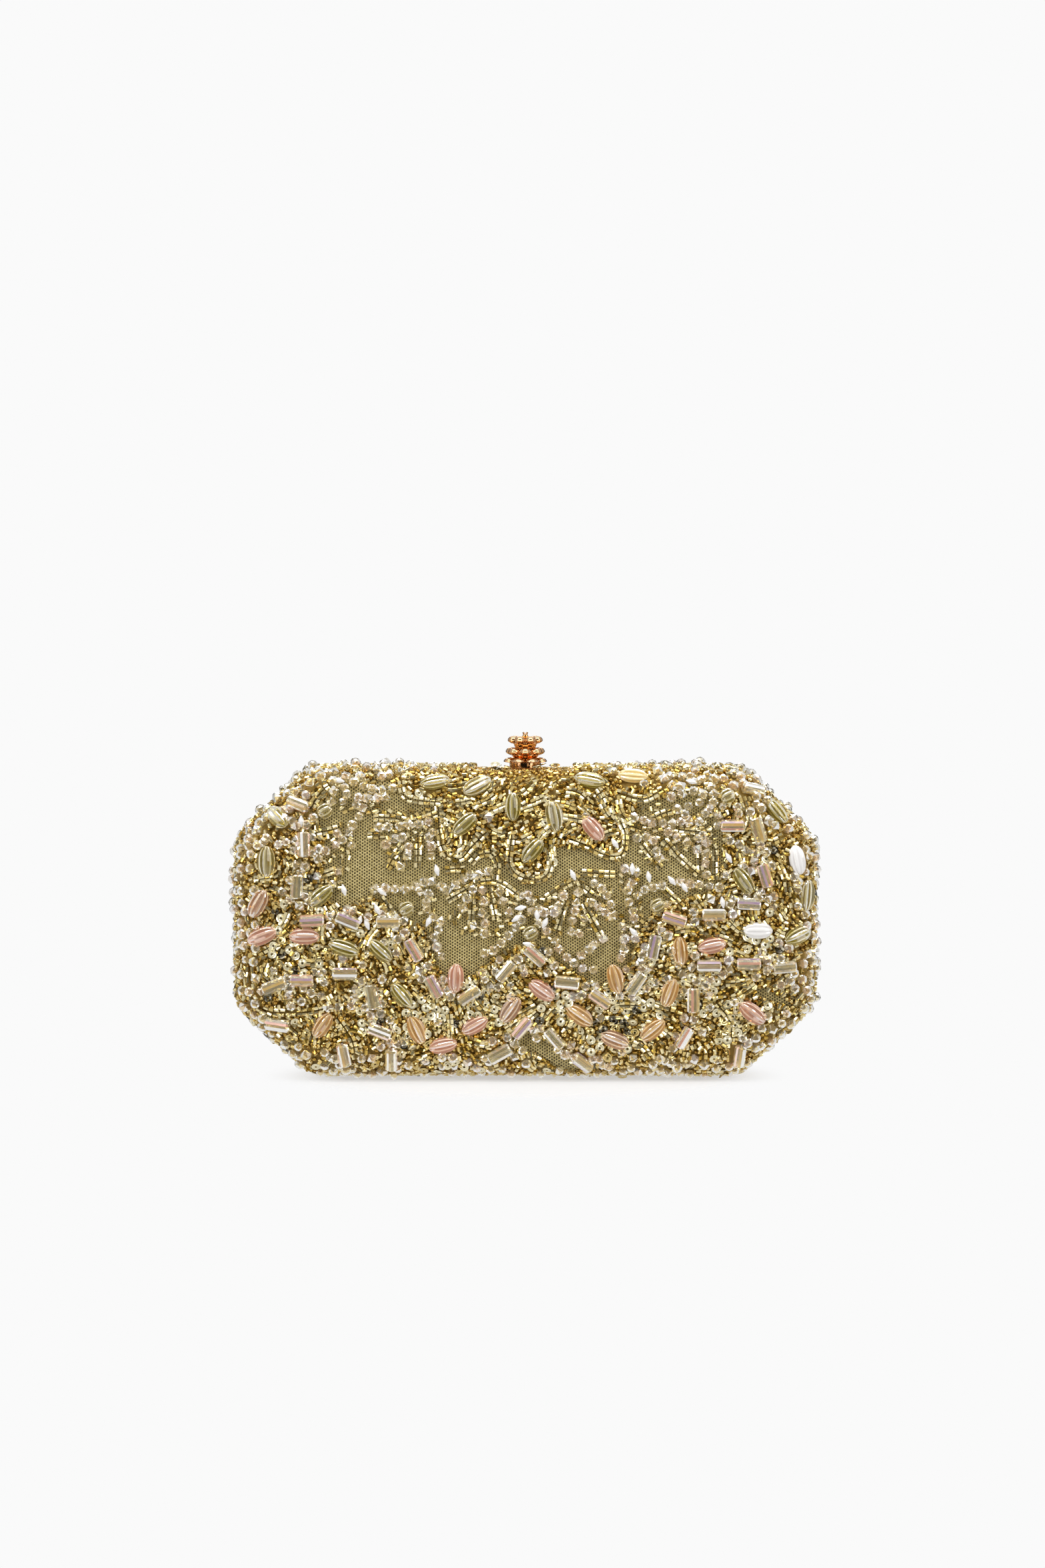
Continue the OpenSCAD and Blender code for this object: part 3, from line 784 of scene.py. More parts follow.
# Each large bead's length, width and height, its middle's lift off the cover, and the length
# and width of the patch that it keeps other beads out of
STONE_SIZE, STONE_LIFT, STONE_CLAIM = np.array((9.7, 5.5, 3.9)), 1.9, (9.2, 5.0)
TUBE_SIZE, TUBE_LIFT, TUBE_CLAIM = np.array((7.8, 4.2, 4.1)), 2.1, (8.4, 4.6)
ROUND_SIZE, ROUND_LIFT, ROUND_CLAIM = np.array((5.0, 5.2, 3.4)), 1.6, (4.8, 4.8)
DROP_SIZE, DROP_LIFT, DROP_CLAIM = np.array((3.6, 1.8, 1.8)), 2.4, (3.0, 1.6)
stones = Beads("marquise_stones", marquise(), STONE_MATERIALS, stone_pattern, smooth=True)
tubes = Beads("tube_beads", tube(), FACET_TINTS, tube_pattern)
round_stones = Beads("round_stones", marquise(), STONE_MATERIALS, stone_pattern)
crystals = Beads("crystals", crystal(), CRYSTAL_TINTS)
bicones = Beads("bicones", bicone(), CRYSTAL_TINTS)
sequins = Beads("sequins", sequin(), SEQUIN_TINTS)
seeds = Beads("cut_seed_beads", cut_seed(), SEED_TINTS)
round_seeds = Beads("round_seed_beads", round_seed(), ROUND_TINTS, smooth=True)
ALL_BEADS = (stones, tubes, round_stones, crystals, bicones, sequins, seeds, round_seeds)
claimed = Claimed()
tint_names = list(STONE_TINTS)
# Chances of each tint, in the order of the tints
ROW_CHANCES, LOOSE_CHANCES = (0.72, 0.22, 0.06), (0.6, 0.3, 0.1)
SEQUIN_CHANCES = (0.62, 0.26, 0.12)


def pick(chances):
    """An index drawn with these chances."""
    return int(rng.choice(len(chances), p=chances))


def free(x, z):
    """Whether no bead has claimed this face point yet."""
    return not claimed.has(x, z)[0]


def in_plane(normal, angle):
    """The surface direction that the front view sees at this angle."""
    d = np.array((math.cos(angle), 0.0, math.sin(angle)))
    return d - normal * (d @ normal)


def set_bead(kind, x, z, angle, lift, size, tint):
    """One bead of the design, its middle at a face point and lifted off the cover."""
    pos, n = on_face((x, z), lift)
    kind.add(pos[0], in_plane(n[0], angle), n[0], size, tint)


def lay_marquises():
    for x, z, degrees, tint in MARQUISES:
        angle = math.radians(degrees)
        size = STONE_SIZE * rng.uniform(0.95, 1.06)
        set_bead(stones, x, z, angle, STONE_LIFT, size, tint_names.index(tint))
        claimed.mark(x, z, angle, *STONE_CLAIM)


def lay_tubes():
    for x, z, degrees in TUBES:
        angle = math.radians(degrees)
        size = TUBE_SIZE * rng.uniform(0.95, 1.05)
        turn = int(rng.integers(0, len(FACET_PATTERN)))
        set_bead(tubes, x, z, angle, TUBE_LIFT, size, turn)
        claimed.mark(x, z, angle, *TUBE_CLAIM)


def lay_round_stones():
    for x, z in ROUND_STONES:
        set_bead(round_stones, x, z, 0.5, ROUND_LIFT, ROUND_SIZE, tint_names.index("clear"))
        claimed.mark(x, z, 0, *ROUND_CLAIM)


def place_crystal(pos, along, up, size):
    """A crystal of either cut and any tint, a little tilted."""
    kind = crystals if rng.random() < 0.65 else bicones
    tint = pick(CRYSTAL_CHANCES)
    kind.add(pos, along, up + rng.normal(0, 0.25, 3), np.full(3, size), tint)


def add_crystal(x, z, size, lift=1.6):
    pos, n = on_face((x, z), lift)
    place_crystal(pos[0], in_plane(n[0], rng.uniform(0, math.pi)), n[0], size)
    claimed.mark(x, z, 0, size, size)


def scatter(polygon, gap):
    """Points spread inside a polygon on the face, at least gap apart."""
    low, high = np.min(polygon, axis=0), np.max(polygon, axis=0)
    count = int(8 * np.prod(high - low) / gap ** 2)
    p = rng.uniform(low, high, (count, 2))
    p = p[in_polygon(p, polygon)]
    p = p[inset_of(p) > COVER_IN + 0.4]
    return p[spread(np.column_stack([p, np.zeros(len(p))]), gap)]


# The drops are painted highlights: opaque white bicones where glints fall
def lay_highlight_drops():
    for x, z, degrees in HIGHLIGHT_DROPS:
        angle = math.radians(degrees)
        set_bead(bicones, x, z, angle, DROP_LIFT, DROP_SIZE, PAINTED_HIGHLIGHT_CRYSTAL)
        claimed.mark(x, z, angle, *DROP_CLAIM)


def lay_crystals():
    for strand in CRYSTAL_STRANDS:
        points, _ = smooth_path(strand, 3.2)
        for x, z in points + rng.normal(0, 0.3, points.shape):
            if free(x, z):
                add_crystal(x, z, rng.uniform(3.2, 3.8))
    # Clusters fill the gaps between neighbouring tubes of a chain
    chain = np.array([t[:2] for t in TUBES], float)
    for p, q in zip(chain, chain[1:]):
        gap = np.linalg.norm(q - p)
        if gap < 18:
            across = np.array((-(q - p)[1], (q - p)[0])) / gap
            for side in (-1.6, 1.6):
                x, z = (p + q) / 2 + across * side
                if free(x, z):
                    add_crystal(x, z, rng.uniform(3.2, 3.9), 2.0)
    for patch in CRYSTAL_PATCHES:
        for x, z in scatter(patch, 3.1):
            if rng.random() < 0.78 and free(x, z):
                add_crystal(x, z, rng.uniform(3.0, 3.8), rng.uniform(1.5, 2.4))
    for x, z in scatter(FACE, 3.2):
        near = np.min(np.hypot(*(chain - (x, z)).T))
        if near < 6.5 and rng.random() < 0.38 and free(x, z):
            add_crystal(x, z, rng.uniform(3.0, 3.6), rng.uniform(1.4, 2.2))


CUT_SEED_SIZE = np.array((1.5, 1.12, 1.12))
# A row's beads: their step, half the distance between its two lines, and their lift
ROW_STEP, ROW_HALF, ROW_LIFT, NET_LIFT = 1.8, 0.72, 1.7, 0.95
SHORT_STEP, SHORT_HALF, SHORT_GAP = 1.65, 0.62, 4.6
# The part of the face that is flat enough to be laid out from the front
FACE = [(-88, 20), (-68, 4), (68, 4), (88, 20), (88, 82), (68, 98), (-68, 98), (-88, 82)]


def flow_angle(x, z):
    """The way the embroidery runs at a face point, in radians from +X."""
    return 1.5 * math.sin(x / 13 + 1.6 * math.sin(z / 11)) + 1.2 * math.cos(z / 9 - x / 17)


def add_seed(x, z, angle, lift, tint, wobble=0.0):
    pos, n = on_face((x, z), lift)
    up = n[0] + rng.normal(0, wobble, 3) if wobble else n[0]
    seeds.add(pos[0], in_plane(n[0], angle), up, CUT_SEED_SIZE, tint)


def lay_net_sprays():
    for spray in NET_SPRAYS:
        for x, z in scatter(spray, 1.75):
            if rng.random() < 0.85 and free(x, z):
                tint = pick(LOOSE_CHANCES)
                add_seed(x, z, flow_angle(x, z) + rng.normal(0, 0.5), NET_LIFT, tint, 0.22)
        for x, z in scatter(spray, 3.5):
            if rng.random() < 0.42 and free(x, z):
                add_crystal(x, z, rng.uniform(2.8, 3.4))


def lay_seed_rows():
    """Pairs of bright cut beads side by side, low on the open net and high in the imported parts."""
    for row in SEED_ROWS:
        points, ahead = smooth_path(row, ROW_STEP)
        across = np.stack([-ahead[:, 1], ahead[:, 0]], axis=1)
        lift = np.where(in_window(points), NET_LIFT, ROW_LIFT)
        for side in (-ROW_HALF, ROW_HALF):
            for (x, z), d, up in zip(points + across * side, ahead, lift):
                if free(x, z):
                    tint = pick(ROW_CHANCES)
                    add_seed(x, z, math.atan2(d[1], d[0]), up, tint, 0.22)
        for x, z in points:
            claimed.mark(x, z, 0, 2.0, 2.0)


def lay_short_rows():
    """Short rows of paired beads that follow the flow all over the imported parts."""
    for x, z in scatter(FACE, SHORT_GAP):
        for _ in range(rng.integers(2, 6)):
            here = np.array([(x, z)])
            if not free(x, z) or in_window(here)[0] or inset_of(here)[0] < EDGE_R / 2:
                break
            angle = flow_angle(x, z)
            c, s = math.cos(angle), math.sin(angle)
            for side in (-SHORT_HALF, SHORT_HALF):
                tint = pick(LOOSE_CHANCES)
                add_seed(x - s * side, z + c * side, angle, rng.uniform(1.6, 1.9), tint, 0.16)
            claimed.mark(x, z, angle, 1.7, 2.2)
            x, z = x + SHORT_STEP * c, z + SHORT_STEP * s


# ---------------------------------------------------------------- packed seed beads
def sample_layer(count, start):
    """Random points and normals spread evenly over the cover, rim to middle."""
    grid = layer_grid(COVER_IN, start)
    flat = grid.reshape(-1, 3)
    tris = quads(grid.shape[:2])
    p, q, r = flat[tris[:, 0]], flat[tris[:, 1]], flat[tris[:, 2]]
    cross = np.cross(q - p, r - p)
    area = np.linalg.norm(cross, axis=1)
    pick = rng.choice(len(tris), count, p=area / area.sum())
    u, v = rng.random((2, count))
    over = u + v > 1
    u, v = np.where(over, 1 - u, u), np.where(over, 1 - v, v)
    pos = p[pick] + (q - p)[pick] * u[:, None] + (r - p)[pick] * v[:, None]
    n = cross[pick] / area[pick][:, None]
    centre = np.array((0, 0, BAG_H / 2))
    n *= np.sign(((pos - centre) * n).sum(1))[:, None]
    return pos, n


def spread(pos, gap):
    """Indices of points that keep at least gap between them, in the order given."""
    cells, kept = {}, []
    keys = np.floor(pos / gap).astype(int)
    near = [(i, j, k) for i in (-1, 0, 1) for j in (-1, 0, 1) for k in (-1, 0, 1)]
    for n, (p, key) in enumerate(zip(pos.tolist(), keys.tolist())):
        clash = False
        for i, j, k in near:
            for q in cells.get((key[0] + i, key[1] + j, key[2] + k), ()):
                if (p[0] - q[0]) ** 2 + (p[1] - q[1]) ** 2 + (p[2] - q[2]) ** 2 < gap * gap:
                    clash = True
                    break
            if clash:
                break
        if not clash:
            cells.setdefault(tuple(key), []).append(p)
            kept.append(n)
    return np.array(kept)


def faces_front(normal):
    """Whether a point with this normal is on the face, and not on the side walls round it."""
    return normal[..., 1] < FACE_LEAN


def free_points(count, gap, margin=0.0):
    """Spread points that no window or bead has claimed, clear of the clasp."""
    pos, n = sample_layer(count, BEAD_START + 0.6)
    face = faces_front(n)
    xz = pos[:, [0, 2]]
    blocked = face & (claimed.has(pos[:, 0], pos[:, 2]) | in_window(xz))
    near_clasp = (np.hypot(pos[:, 0], pos[:, 1]) < CLEARING_R + margin) & (pos[:, 2] > BAG_H / 2)
    keep = ~blocked & ~near_clasp
    pos, n = pos[keep], n[keep]
    chosen = spread(pos, gap)
    return pos[chosen], n[chosen]


def tangent(n):
    """A random direction in the surface at each normal."""
    d = rng.normal(size=n.shape)
    d -= n * (d * n).sum(1)[:, None]
    return d / np.linalg.norm(d, axis=1)[:, None]


def lay_sequins():
    """Sequins crowd together in their fields and are few everywhere else."""
    pos, n = free_points(30000, 2.5, 2.0)
    fields = np.array(SEQUIN_FIELDS)
    for p, up, d in zip(pos, n, tangent(n)):
        face = faces_front(up)
        near = face and np.any(np.hypot(fields[:, 0] - p[0], fields[:, 1] - p[2]) < fields[:, 2])
        if rng.random() > (0.95 if near else 0.05 if face and p[2] > 58 else 0.12):
            continue
        tint = pick(SEQUIN_CHANCES)
        tilt = up + rng.normal(0, 0.28, 3)
        middle = p + up * rng.uniform(1.5, 2.3)
        sequins.add(middle, d, tilt, np.full(3, rng.uniform(2.8, 3.1)), tint)
        if face:
            claimed.mark(p[0], p[2], 0, 2.2, 2.2)


def lay_edge_crystals():
    """Crystals crowd the rounded edges, where many stand proud, and scatter over the walls."""
    pos, n = free_points(20000, 3.2, 4.0)
    for p, up in zip(pos, n):
        on_edge = -0.93 < up[1] < -0.2
        crowded = abs(p[0]) > 38 or p[2] < BAG_H / 2
        chance = (0.74 if crowded else 0.3) if on_edge else 0.22 if up[1] > FACE_LEAN else 0.05
        by_clasp = up[2] > 0.3 and abs(p[0]) < 26
        if rng.random() < chance and not by_clasp:
            size = rng.uniform(3.0, 3.7)
            lift = rng.uniform(1.5, 3.0 if crowded else 2.2) if up[2] > -0.5 else 1.3
            place_crystal(p + up * lift, tangent(up[None])[0], up, size)
            if faces_front(up):
                claimed.mark(p[0], p[2], 0, size * 0.8, size * 0.8)


# Each layer of packed seeds: how many to try, gap, lift, jolt, share of round ones, tint chances
# Darker tints below and brighter ones on top stand partly for painted shade in the gaps
SEED_LAYERS = [
    (90000, 1.15, 0.65, 0.12, 0.5, (0.08, 0.32, 0.42, 0.18)),
    (80000, 1.4, 1.35, 0.30, 0.3, (0.34, 0.36, 0.22, 0.08)),
    (40000, 2.4, 2.05, 0.35, 0.1, (0.62, 0.28, 0.10, 0.0)),
]
CLASP_SKIRT = 16.0
FLOW_SPREAD = 0.4


def lay_packed_seeds():
    """A darker bed underneath, partly the mix of bead colours and partly painted shade in the gaps
    between the top beads, then brighter beads in a jumble on top, low round the clasp.
    """
    for count, gap, lift, jolt, rounds, chances in SEED_LAYERS:
        pos, n = free_points(count, gap)
        tints = rng.choice(4, len(pos), p=chances)
        jolts = rng.normal(0, jolt, n.shape)
        is_round = rng.random(len(pos)) < rounds
        for p, up, d, tint, j, rounded in zip(pos, n, tangent(n), tints, jolts, is_round):
            if up[2] > 0.7 and abs(p[0]) < CLASP_SKIRT and lift > 1:
                continue
            height = min(lift, 1.6) if up[2] < -0.6 else lift
            if rounded:
                size = rng.uniform(1.15, 1.45)
                round_seeds.add(p + up * height, d, up + j * 2, np.full(3, size),
                                min(int(tint), 2))
            else:
                if faces_front(up):
                    d = in_plane(up, flow_angle(p[0], p[2]) + rng.normal(0, FLOW_SPREAD))
                seeds.add(p + up * height, d, up + j, CUT_SEED_SIZE, int(tint))


lay_marquises()
lay_tubes()
lay_round_stones()
lay_highlight_drops()
lay_crystals()
lay_seed_rows()
lay_net_sprays()
lay_sequins()
lay_short_rows()
lay_edge_crystals()
lay_packed_seeds()
for kind in ALL_BEADS:
    for obj in kind.objects():
        dress(obj, "beadwork")

# ---------------------------------------------------------------- cover: satin and net
def cloth(name, dark, pale, weave_scale, rough=0.5, sheen=0.5):
    """A woven cloth: fine crossed threads in its bump, and a slow drift of its colour."""
    mat = principled(name, pale, Roughness=rough, Sheen_Weight=sheen, Sheen_Roughness=0.4)
    tree = mat.node_tree
    noise = vary_color(mat, [(0.3, dark), (0.7, pale)], 160.0)
    weft = texture(mat, "TexWave", weave_scale, Distortion=1.5, Detail=2.0)
    warp = texture(mat, "TexWave", weave_scale * 1.3, Distortion=1.5, Detail=2.0)
    warp.bands_direction = "Z"
    both = add_node(tree, "Math", operation="ADD")
    tree.links.new(weft.outputs["Fac"], both.inputs[0])
    tree.links.new(warp.outputs["Fac"], both.inputs[1])
    add_bump(mat, both.outputs[0], 0.35, 0.0002)
    return mat


satin_packed = cloth("satin_under_beads", (0.42, 0.27, 0.05), (0.56, 0.38, 0.09), 1500.0)
satin_window = cloth("satin_under_net", (0.045, 0.028, 0.004), (0.075, 0.048, 0.009), 1500.0)
net_thread = principled("net_thread", (0.47, 0.39, 0.17), Roughness=0.5, Sheen_Weight=0.5)
vary_color(net_thread, [(0.3, (0.76, 0.63, 0.29)), (0.7, (0.44, 0.34, 0.11))], 1100.0)
NET_PITCH, NET_ROW = 0.76, 1.0
HOLE_SHARE = np.array((0.46, 0.56))
NET_TOP, NET_FOOT = 0.42, 0.12


def near_window(p, reach=2.2):
    """Whether a point is in a window, or within reach of one."""
    found = in_window(p)
    for k in range(8):
        a = math.pi * k / 4
        found |= in_window(p + reach * np.array((math.cos(a), math.sin(a))))
    return found


def net_cells():
    """Vertices and triangles of the net: staggered cells whose rims slope into their holes."""
    cols = np.arange(-BAG_W / 2, BAG_W / 2, NET_PITCH)
    rows = np.arange(0, BAG_H, NET_ROW)
    x, z = np.meshgrid(cols, rows, indexing="ij")
    z = z + NET_ROW / 2 * (np.arange(len(cols)) % 2)[:, None]
    # The net is never pulled quite square
    drift = 0.35 * np.sin(x / 17 + z / 23), 0.35 * np.sin(z / 19 - x / 29)
    centre = np.stack([(x + drift[0]).ravel(), (z + drift[1]).ravel()], 1)
    centre = centre[near_window(centre)]
    shape = np.array([(-2 / 3, 0), (-1 / 3, -0.5), (1 / 3, -0.5), (2 / 3, 0), (1 / 3, 0.5),
                      (-1 / 3, 0.5)])
    outer = centre[:, None] + shape * (NET_PITCH, NET_ROW)
    lean = np.array([(0.0, 0), (-0.04, 0), (0.04, 0), (0.0, 0), (0.04, 0), (-0.04, 0)])
    hole = centre[:, None] + shape * (NET_PITCH, NET_ROW) * HOLE_SHARE + lean
    hole += rng.normal(0, 0.02, hole.shape)
    count = len(centre)
    top, _ = on_face(outer.reshape(-1, 2), NET_TOP)
    low, _ = on_face(hole.reshape(-1, 2), NET_FOOT)
    verts = np.concatenate([top.reshape(count, 6, 3), low.reshape(count, 6, 3)], axis=1)
    ring = np.array([[k, (k + 1) % 6, 6 + k] for k in range(6)]
                    + [[(k + 1) % 6, 6 + (k + 1) % 6, 6 + k] for k in range(6)])
    tris = ring[None] + (np.arange(count) * 12)[:, None, None]
    return verts.reshape(-1, 3), tris.reshape(-1, 3)


def make_cover():
    """Satin over the whole half, with the net bonded to it wherever the beads leave it open."""
    grid = layer_grid(COVER_IN, COVER_START)
    middle = np.array((0, -(HALF_DEPTH - COVER_IN + CROWN), BAG_H / 2))
    satin = np.vstack([grid.reshape(-1, 3), middle])
    satin_tris = dish(grid.shape[:2])
    middles = satin[satin_tris].mean(axis=1)
    slots = (near_window(middles[:, [0, 2]]) & (middles[:, 1] < -HALF_DEPTH / 2)).astype(int)
    net, net_tris = net_cells()
    obj = make_object("front_satin_and_net", np.vstack([satin, net]),
                      np.vstack([satin_tris, net_tris + len(satin)]),
                      np.concatenate([slots, np.full(len(net_tris), 2)]),
                      [satin_packed, satin_window, net_thread], True)
    for half in dress(obj, "cover"):
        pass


make_cover()

# ---------------------------------------------------------------- padding, lining, frame
def shell_mesh(name, e_out, e_in, start, materials, pucker=0.0, **steps):
    """A closed layer between two insets; pucker lets its inner face wander a little."""
    outer = layer_grid(e_out, start, **steps)
    inner = layer_grid(e_in, start, **steps)
    if pucker:
        x, z = inner[..., 0], inner[..., 2]
        wave = np.sin(x / 9 + 2 * np.sin(z / 13)) * np.sin(z / 8 + 1.5 * np.sin(x / 17))
        fade = np.linspace(0, 1, len(inner))[:, None] ** 0.5
        inner[..., 1] += pucker * fade * (0.5 + 0.5 * wave)
    rings, n = outer.shape[:2]
    tips = [np.array((0, g[-1, :, 1].mean(), BAG_H / 2)) for g in (outer, inner)]
    verts = np.vstack([outer.reshape(-1, 3), tips[0], inner.reshape(-1, 3), tips[1]])
    half = rings * n + 1
    rim = np.array([[(k + 1) % n, k, half + k] for k in range(n)]
                   + [[(k + 1) % n, half + k, half + (k + 1) % n] for k in range(n)])
    side = dish((rings, n))
    tris = np.concatenate([side, side[:, ::-1] + half, rim])
    return make_object("front_" + name, verts, tris, np.zeros(len(tris), int), materials, True)


foam = principled("foam", (0.80, 0.77, 0.68), Roughness=0.9)
foam_cells = texture(foam, "TexVoronoi", 900.0)
add_bump(foam, foam_cells.outputs["Distance"], 0.6, 0.0003)
lining_satin = cloth("lining_satin", (0.62, 0.50, 0.30), (0.72, 0.61, 0.40), 900.0, 0.32, 0.3)
FOAM_IN = node_box("front_padding")[0][2]
LINING_IN = node_box("front_lining")[0][2]
FOAM_THICK, LINING_THICK, LINING_START, PUCKER = 1.0, 0.6, 1.25, 0.7


def make_padding_and_lining():
    pad = shell_mesh("foam_padding", FOAM_IN, FOAM_IN + FOAM_THICK, COVER_START, [foam],
                     wall_steps=3, edge_steps=6, crown_steps=6)
    for half in dress(pad, "padding"):
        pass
    lining = shell_mesh("satin_lining", LINING_IN, LINING_IN + LINING_THICK, LINING_START,
                        [lining_satin], PUCKER, wall_steps=4, edge_steps=10, crown_steps=30)
    for half in dress(lining, "lining"):
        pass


make_padding_and_lining()


def polished(name, color, rough=0.09):
    """Plated metal with faint smears and hairlines in its polish."""
    mat = principled(name, color, Metallic=1.0, Roughness=rough, Coat_Weight=0.3)
    smears = texture(mat, "TexNoise", 240.0, Detail=5.0)
    shades = ramp(mat, smears.outputs["Fac"],
                  [(0.3, (rough * 0.6,) * 3), (0.75, (rough * 1.9,) * 3)])
    mat.node_tree.links.new(shades.outputs["Color"], shader_of(mat).inputs["Roughness"])
    hairlines = texture(mat, "TexNoise", 1800.0, Detail=2.0)
    add_bump(mat, hairlines.outputs["Fac"], 0.03, 0.0001)
    return mat


# The clasp's metals are darker than real plating: they stand in for the dark studio that the
# photo's clasp mirrors, which this stage doesn't reproduce
frame_gold = polished("frame_gold", (0.86, 0.58, 0.27), 0.14)
rose_gold = polished("rose_gold", (0.64, 0.38, 0.19), 0.04)
neck_gold = polished("neck_gold", (0.84, 0.40, 0.11), 0.10)
dark_gold = polished("dark_gold", (0.34, 0.17, 0.08), 0.06)
steel = polished("spring_steel", (0.62, 0.62, 0.60), 0.18)
board = principled("shell_board", (0.30, 0.26, 0.20), Roughness=0.85)
vary_color(board, [(0.3, (0.34, 0.30, 0.23)), (0.7, (0.25, 0.22, 0.17))], 900.0)

# The frame's section: a web along the parting line, with a rolled lip at either side
OUTER_LIP, INNER_LIP, LIP_THICK = 3.0, 6.8, 0.5
OUTER_LIP_DEEP, INNER_LIP_DEEP = 3.3, 5.3
WEB_BACK, WEB_FACE, WEB_EASE = 0.1, 1.1, 0.2


def rolled_lip(inset, deep):
    """The rounded edge of a lip, as (inset, depth)."""
    r = LIP_THICK / 2
    turns = [math.pi * k / 4 for k in range(5)]
    return [(inset + r - r * math.cos(t), deep - r + r * math.sin(t)) for t in turns]


FRAME_PROFILE = [
    (OUTER_LIP, WEB_BACK + WEB_EASE),
    *rolled_lip(OUTER_LIP, OUTER_LIP_DEEP),
    (OUTER_LIP + LIP_THICK, WEB_FACE + WEB_EASE), (OUTER_LIP + LIP_THICK + WEB_EASE / 2, WEB_FACE),
    (INNER_LIP - WEB_EASE, WEB_FACE), (INNER_LIP, WEB_FACE + WEB_EASE / 2),
    *rolled_lip(INNER_LIP, INNER_LIP_DEEP),
    (INNER_LIP + LIP_THICK, WEB_BACK + WEB_EASE), (INNER_LIP + LIP_THICK - WEB_EASE, WEB_BACK),
    (OUTER_LIP + WEB_EASE, WEB_BACK)]


def make_frame():
    """The pressed metal frame: a U-shaped section with rolled lips, swept round the outline."""
    rings = [at_depth(outline(inset)[0], y) for inset, y in FRAME_PROFILE]
    grid = np.array(rings + rings[:1])
    tris = quads(grid.shape[:2])
    obj = make_object("front_pressed_frame", grid.reshape(-1, 3), tris,
                      np.zeros(len(tris), int), [frame_gold])
    dress(obj, "frame")


make_frame()

# ---------------------------------------------------------------- gussets: pleated fans
GUSSET_IN, PLEATS, PLEAT_STEPS = 8.1, 5, 8
GUSSET_HALF, GUSSET_X, GUSSET_TOP = 4.5, 66.0, 74.0


# How deep the pleats are at the foot, and how much deeper at the top
PLEAT_FOOT, PLEAT_GROWTH, GUSSET_THICK = 0.8, 8.2, 0.3


def gusset_path():
    """Points from the bottom edge up the right-hand side, with outward normals."""
    p, n = outline(GUSSET_IN, 8, 2.0)
    keep = (p[:, 0] > GUSSET_X) & (p[:, 1] < GUSSET_TOP)
    p, n = p[keep], n[keep]
    order = np.argsort(p[:, 1] + 0.2 * p[:, 0])
    p, n = p[order], n[order]
    top = np.array([[p[-1, 0], GUSSET_TOP]])
    return np.vstack([p, top]), np.vstack([n, n[-1]])


def make_gusset(side, name):
    """A sheet pleated like a fan: the pleats deepen towards its open top edge."""
    path, normals = gusset_path()
    steps = PLEATS * PLEAT_STEPS + 1
    y = np.linspace(-GUSSET_HALF, GUSSET_HALF, steps)
    wave = 0.5 - 0.5 * np.cos(2 * math.pi * np.arange(steps) / PLEAT_STEPS)
    depth_at = PLEAT_FOOT + PLEAT_GROWTH * (path[:, 1] / GUSSET_TOP) ** 1.2
    layers = []
    for thick in (0.0, GUSSET_THICK):
        inward = depth_at[:, None] * wave[None] + thick
        x = path[:, 0, None] - normals[:, 0, None] * inward
        z = path[:, 1, None] - normals[:, 1, None] * inward
        layers.append(np.stack([side * x, np.broadcast_to(y, x.shape), z], axis=-1))
    rows, cols = layers[0].shape[:2]
    verts = np.concatenate([l.reshape(-1, 3) for l in layers])
    sheet = quads((rows, cols), wrap=False)
    count = rows * cols
    edge = np.concatenate([np.arange(cols), np.arange(1, rows) * cols + cols - 1,
                           count - 2 - np.arange(cols - 1), np.arange(rows - 2, 0, -1) * cols])
    ahead = np.roll(edge, -1)
    rim = np.concatenate([np.stack([ahead, edge, edge + count], 1),
                          np.stack([ahead, edge + count, ahead + count], 1)])
    tris = np.concatenate([sheet, sheet[:, ::-1] + count, rim])
    if side > 0:
        tris = tris[:, ::-1]
    obj = make_object(name + "_fan", verts, tris, np.zeros(len(tris), int), [lining_satin], True)
    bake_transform(obj)
    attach(obj, "rear_half")
    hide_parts(name)


make_gusset(-1, "gusset_left")
make_gusset(1, "gusset_right")

# ---------------------------------------------------------------- clasp
PETALS = 7


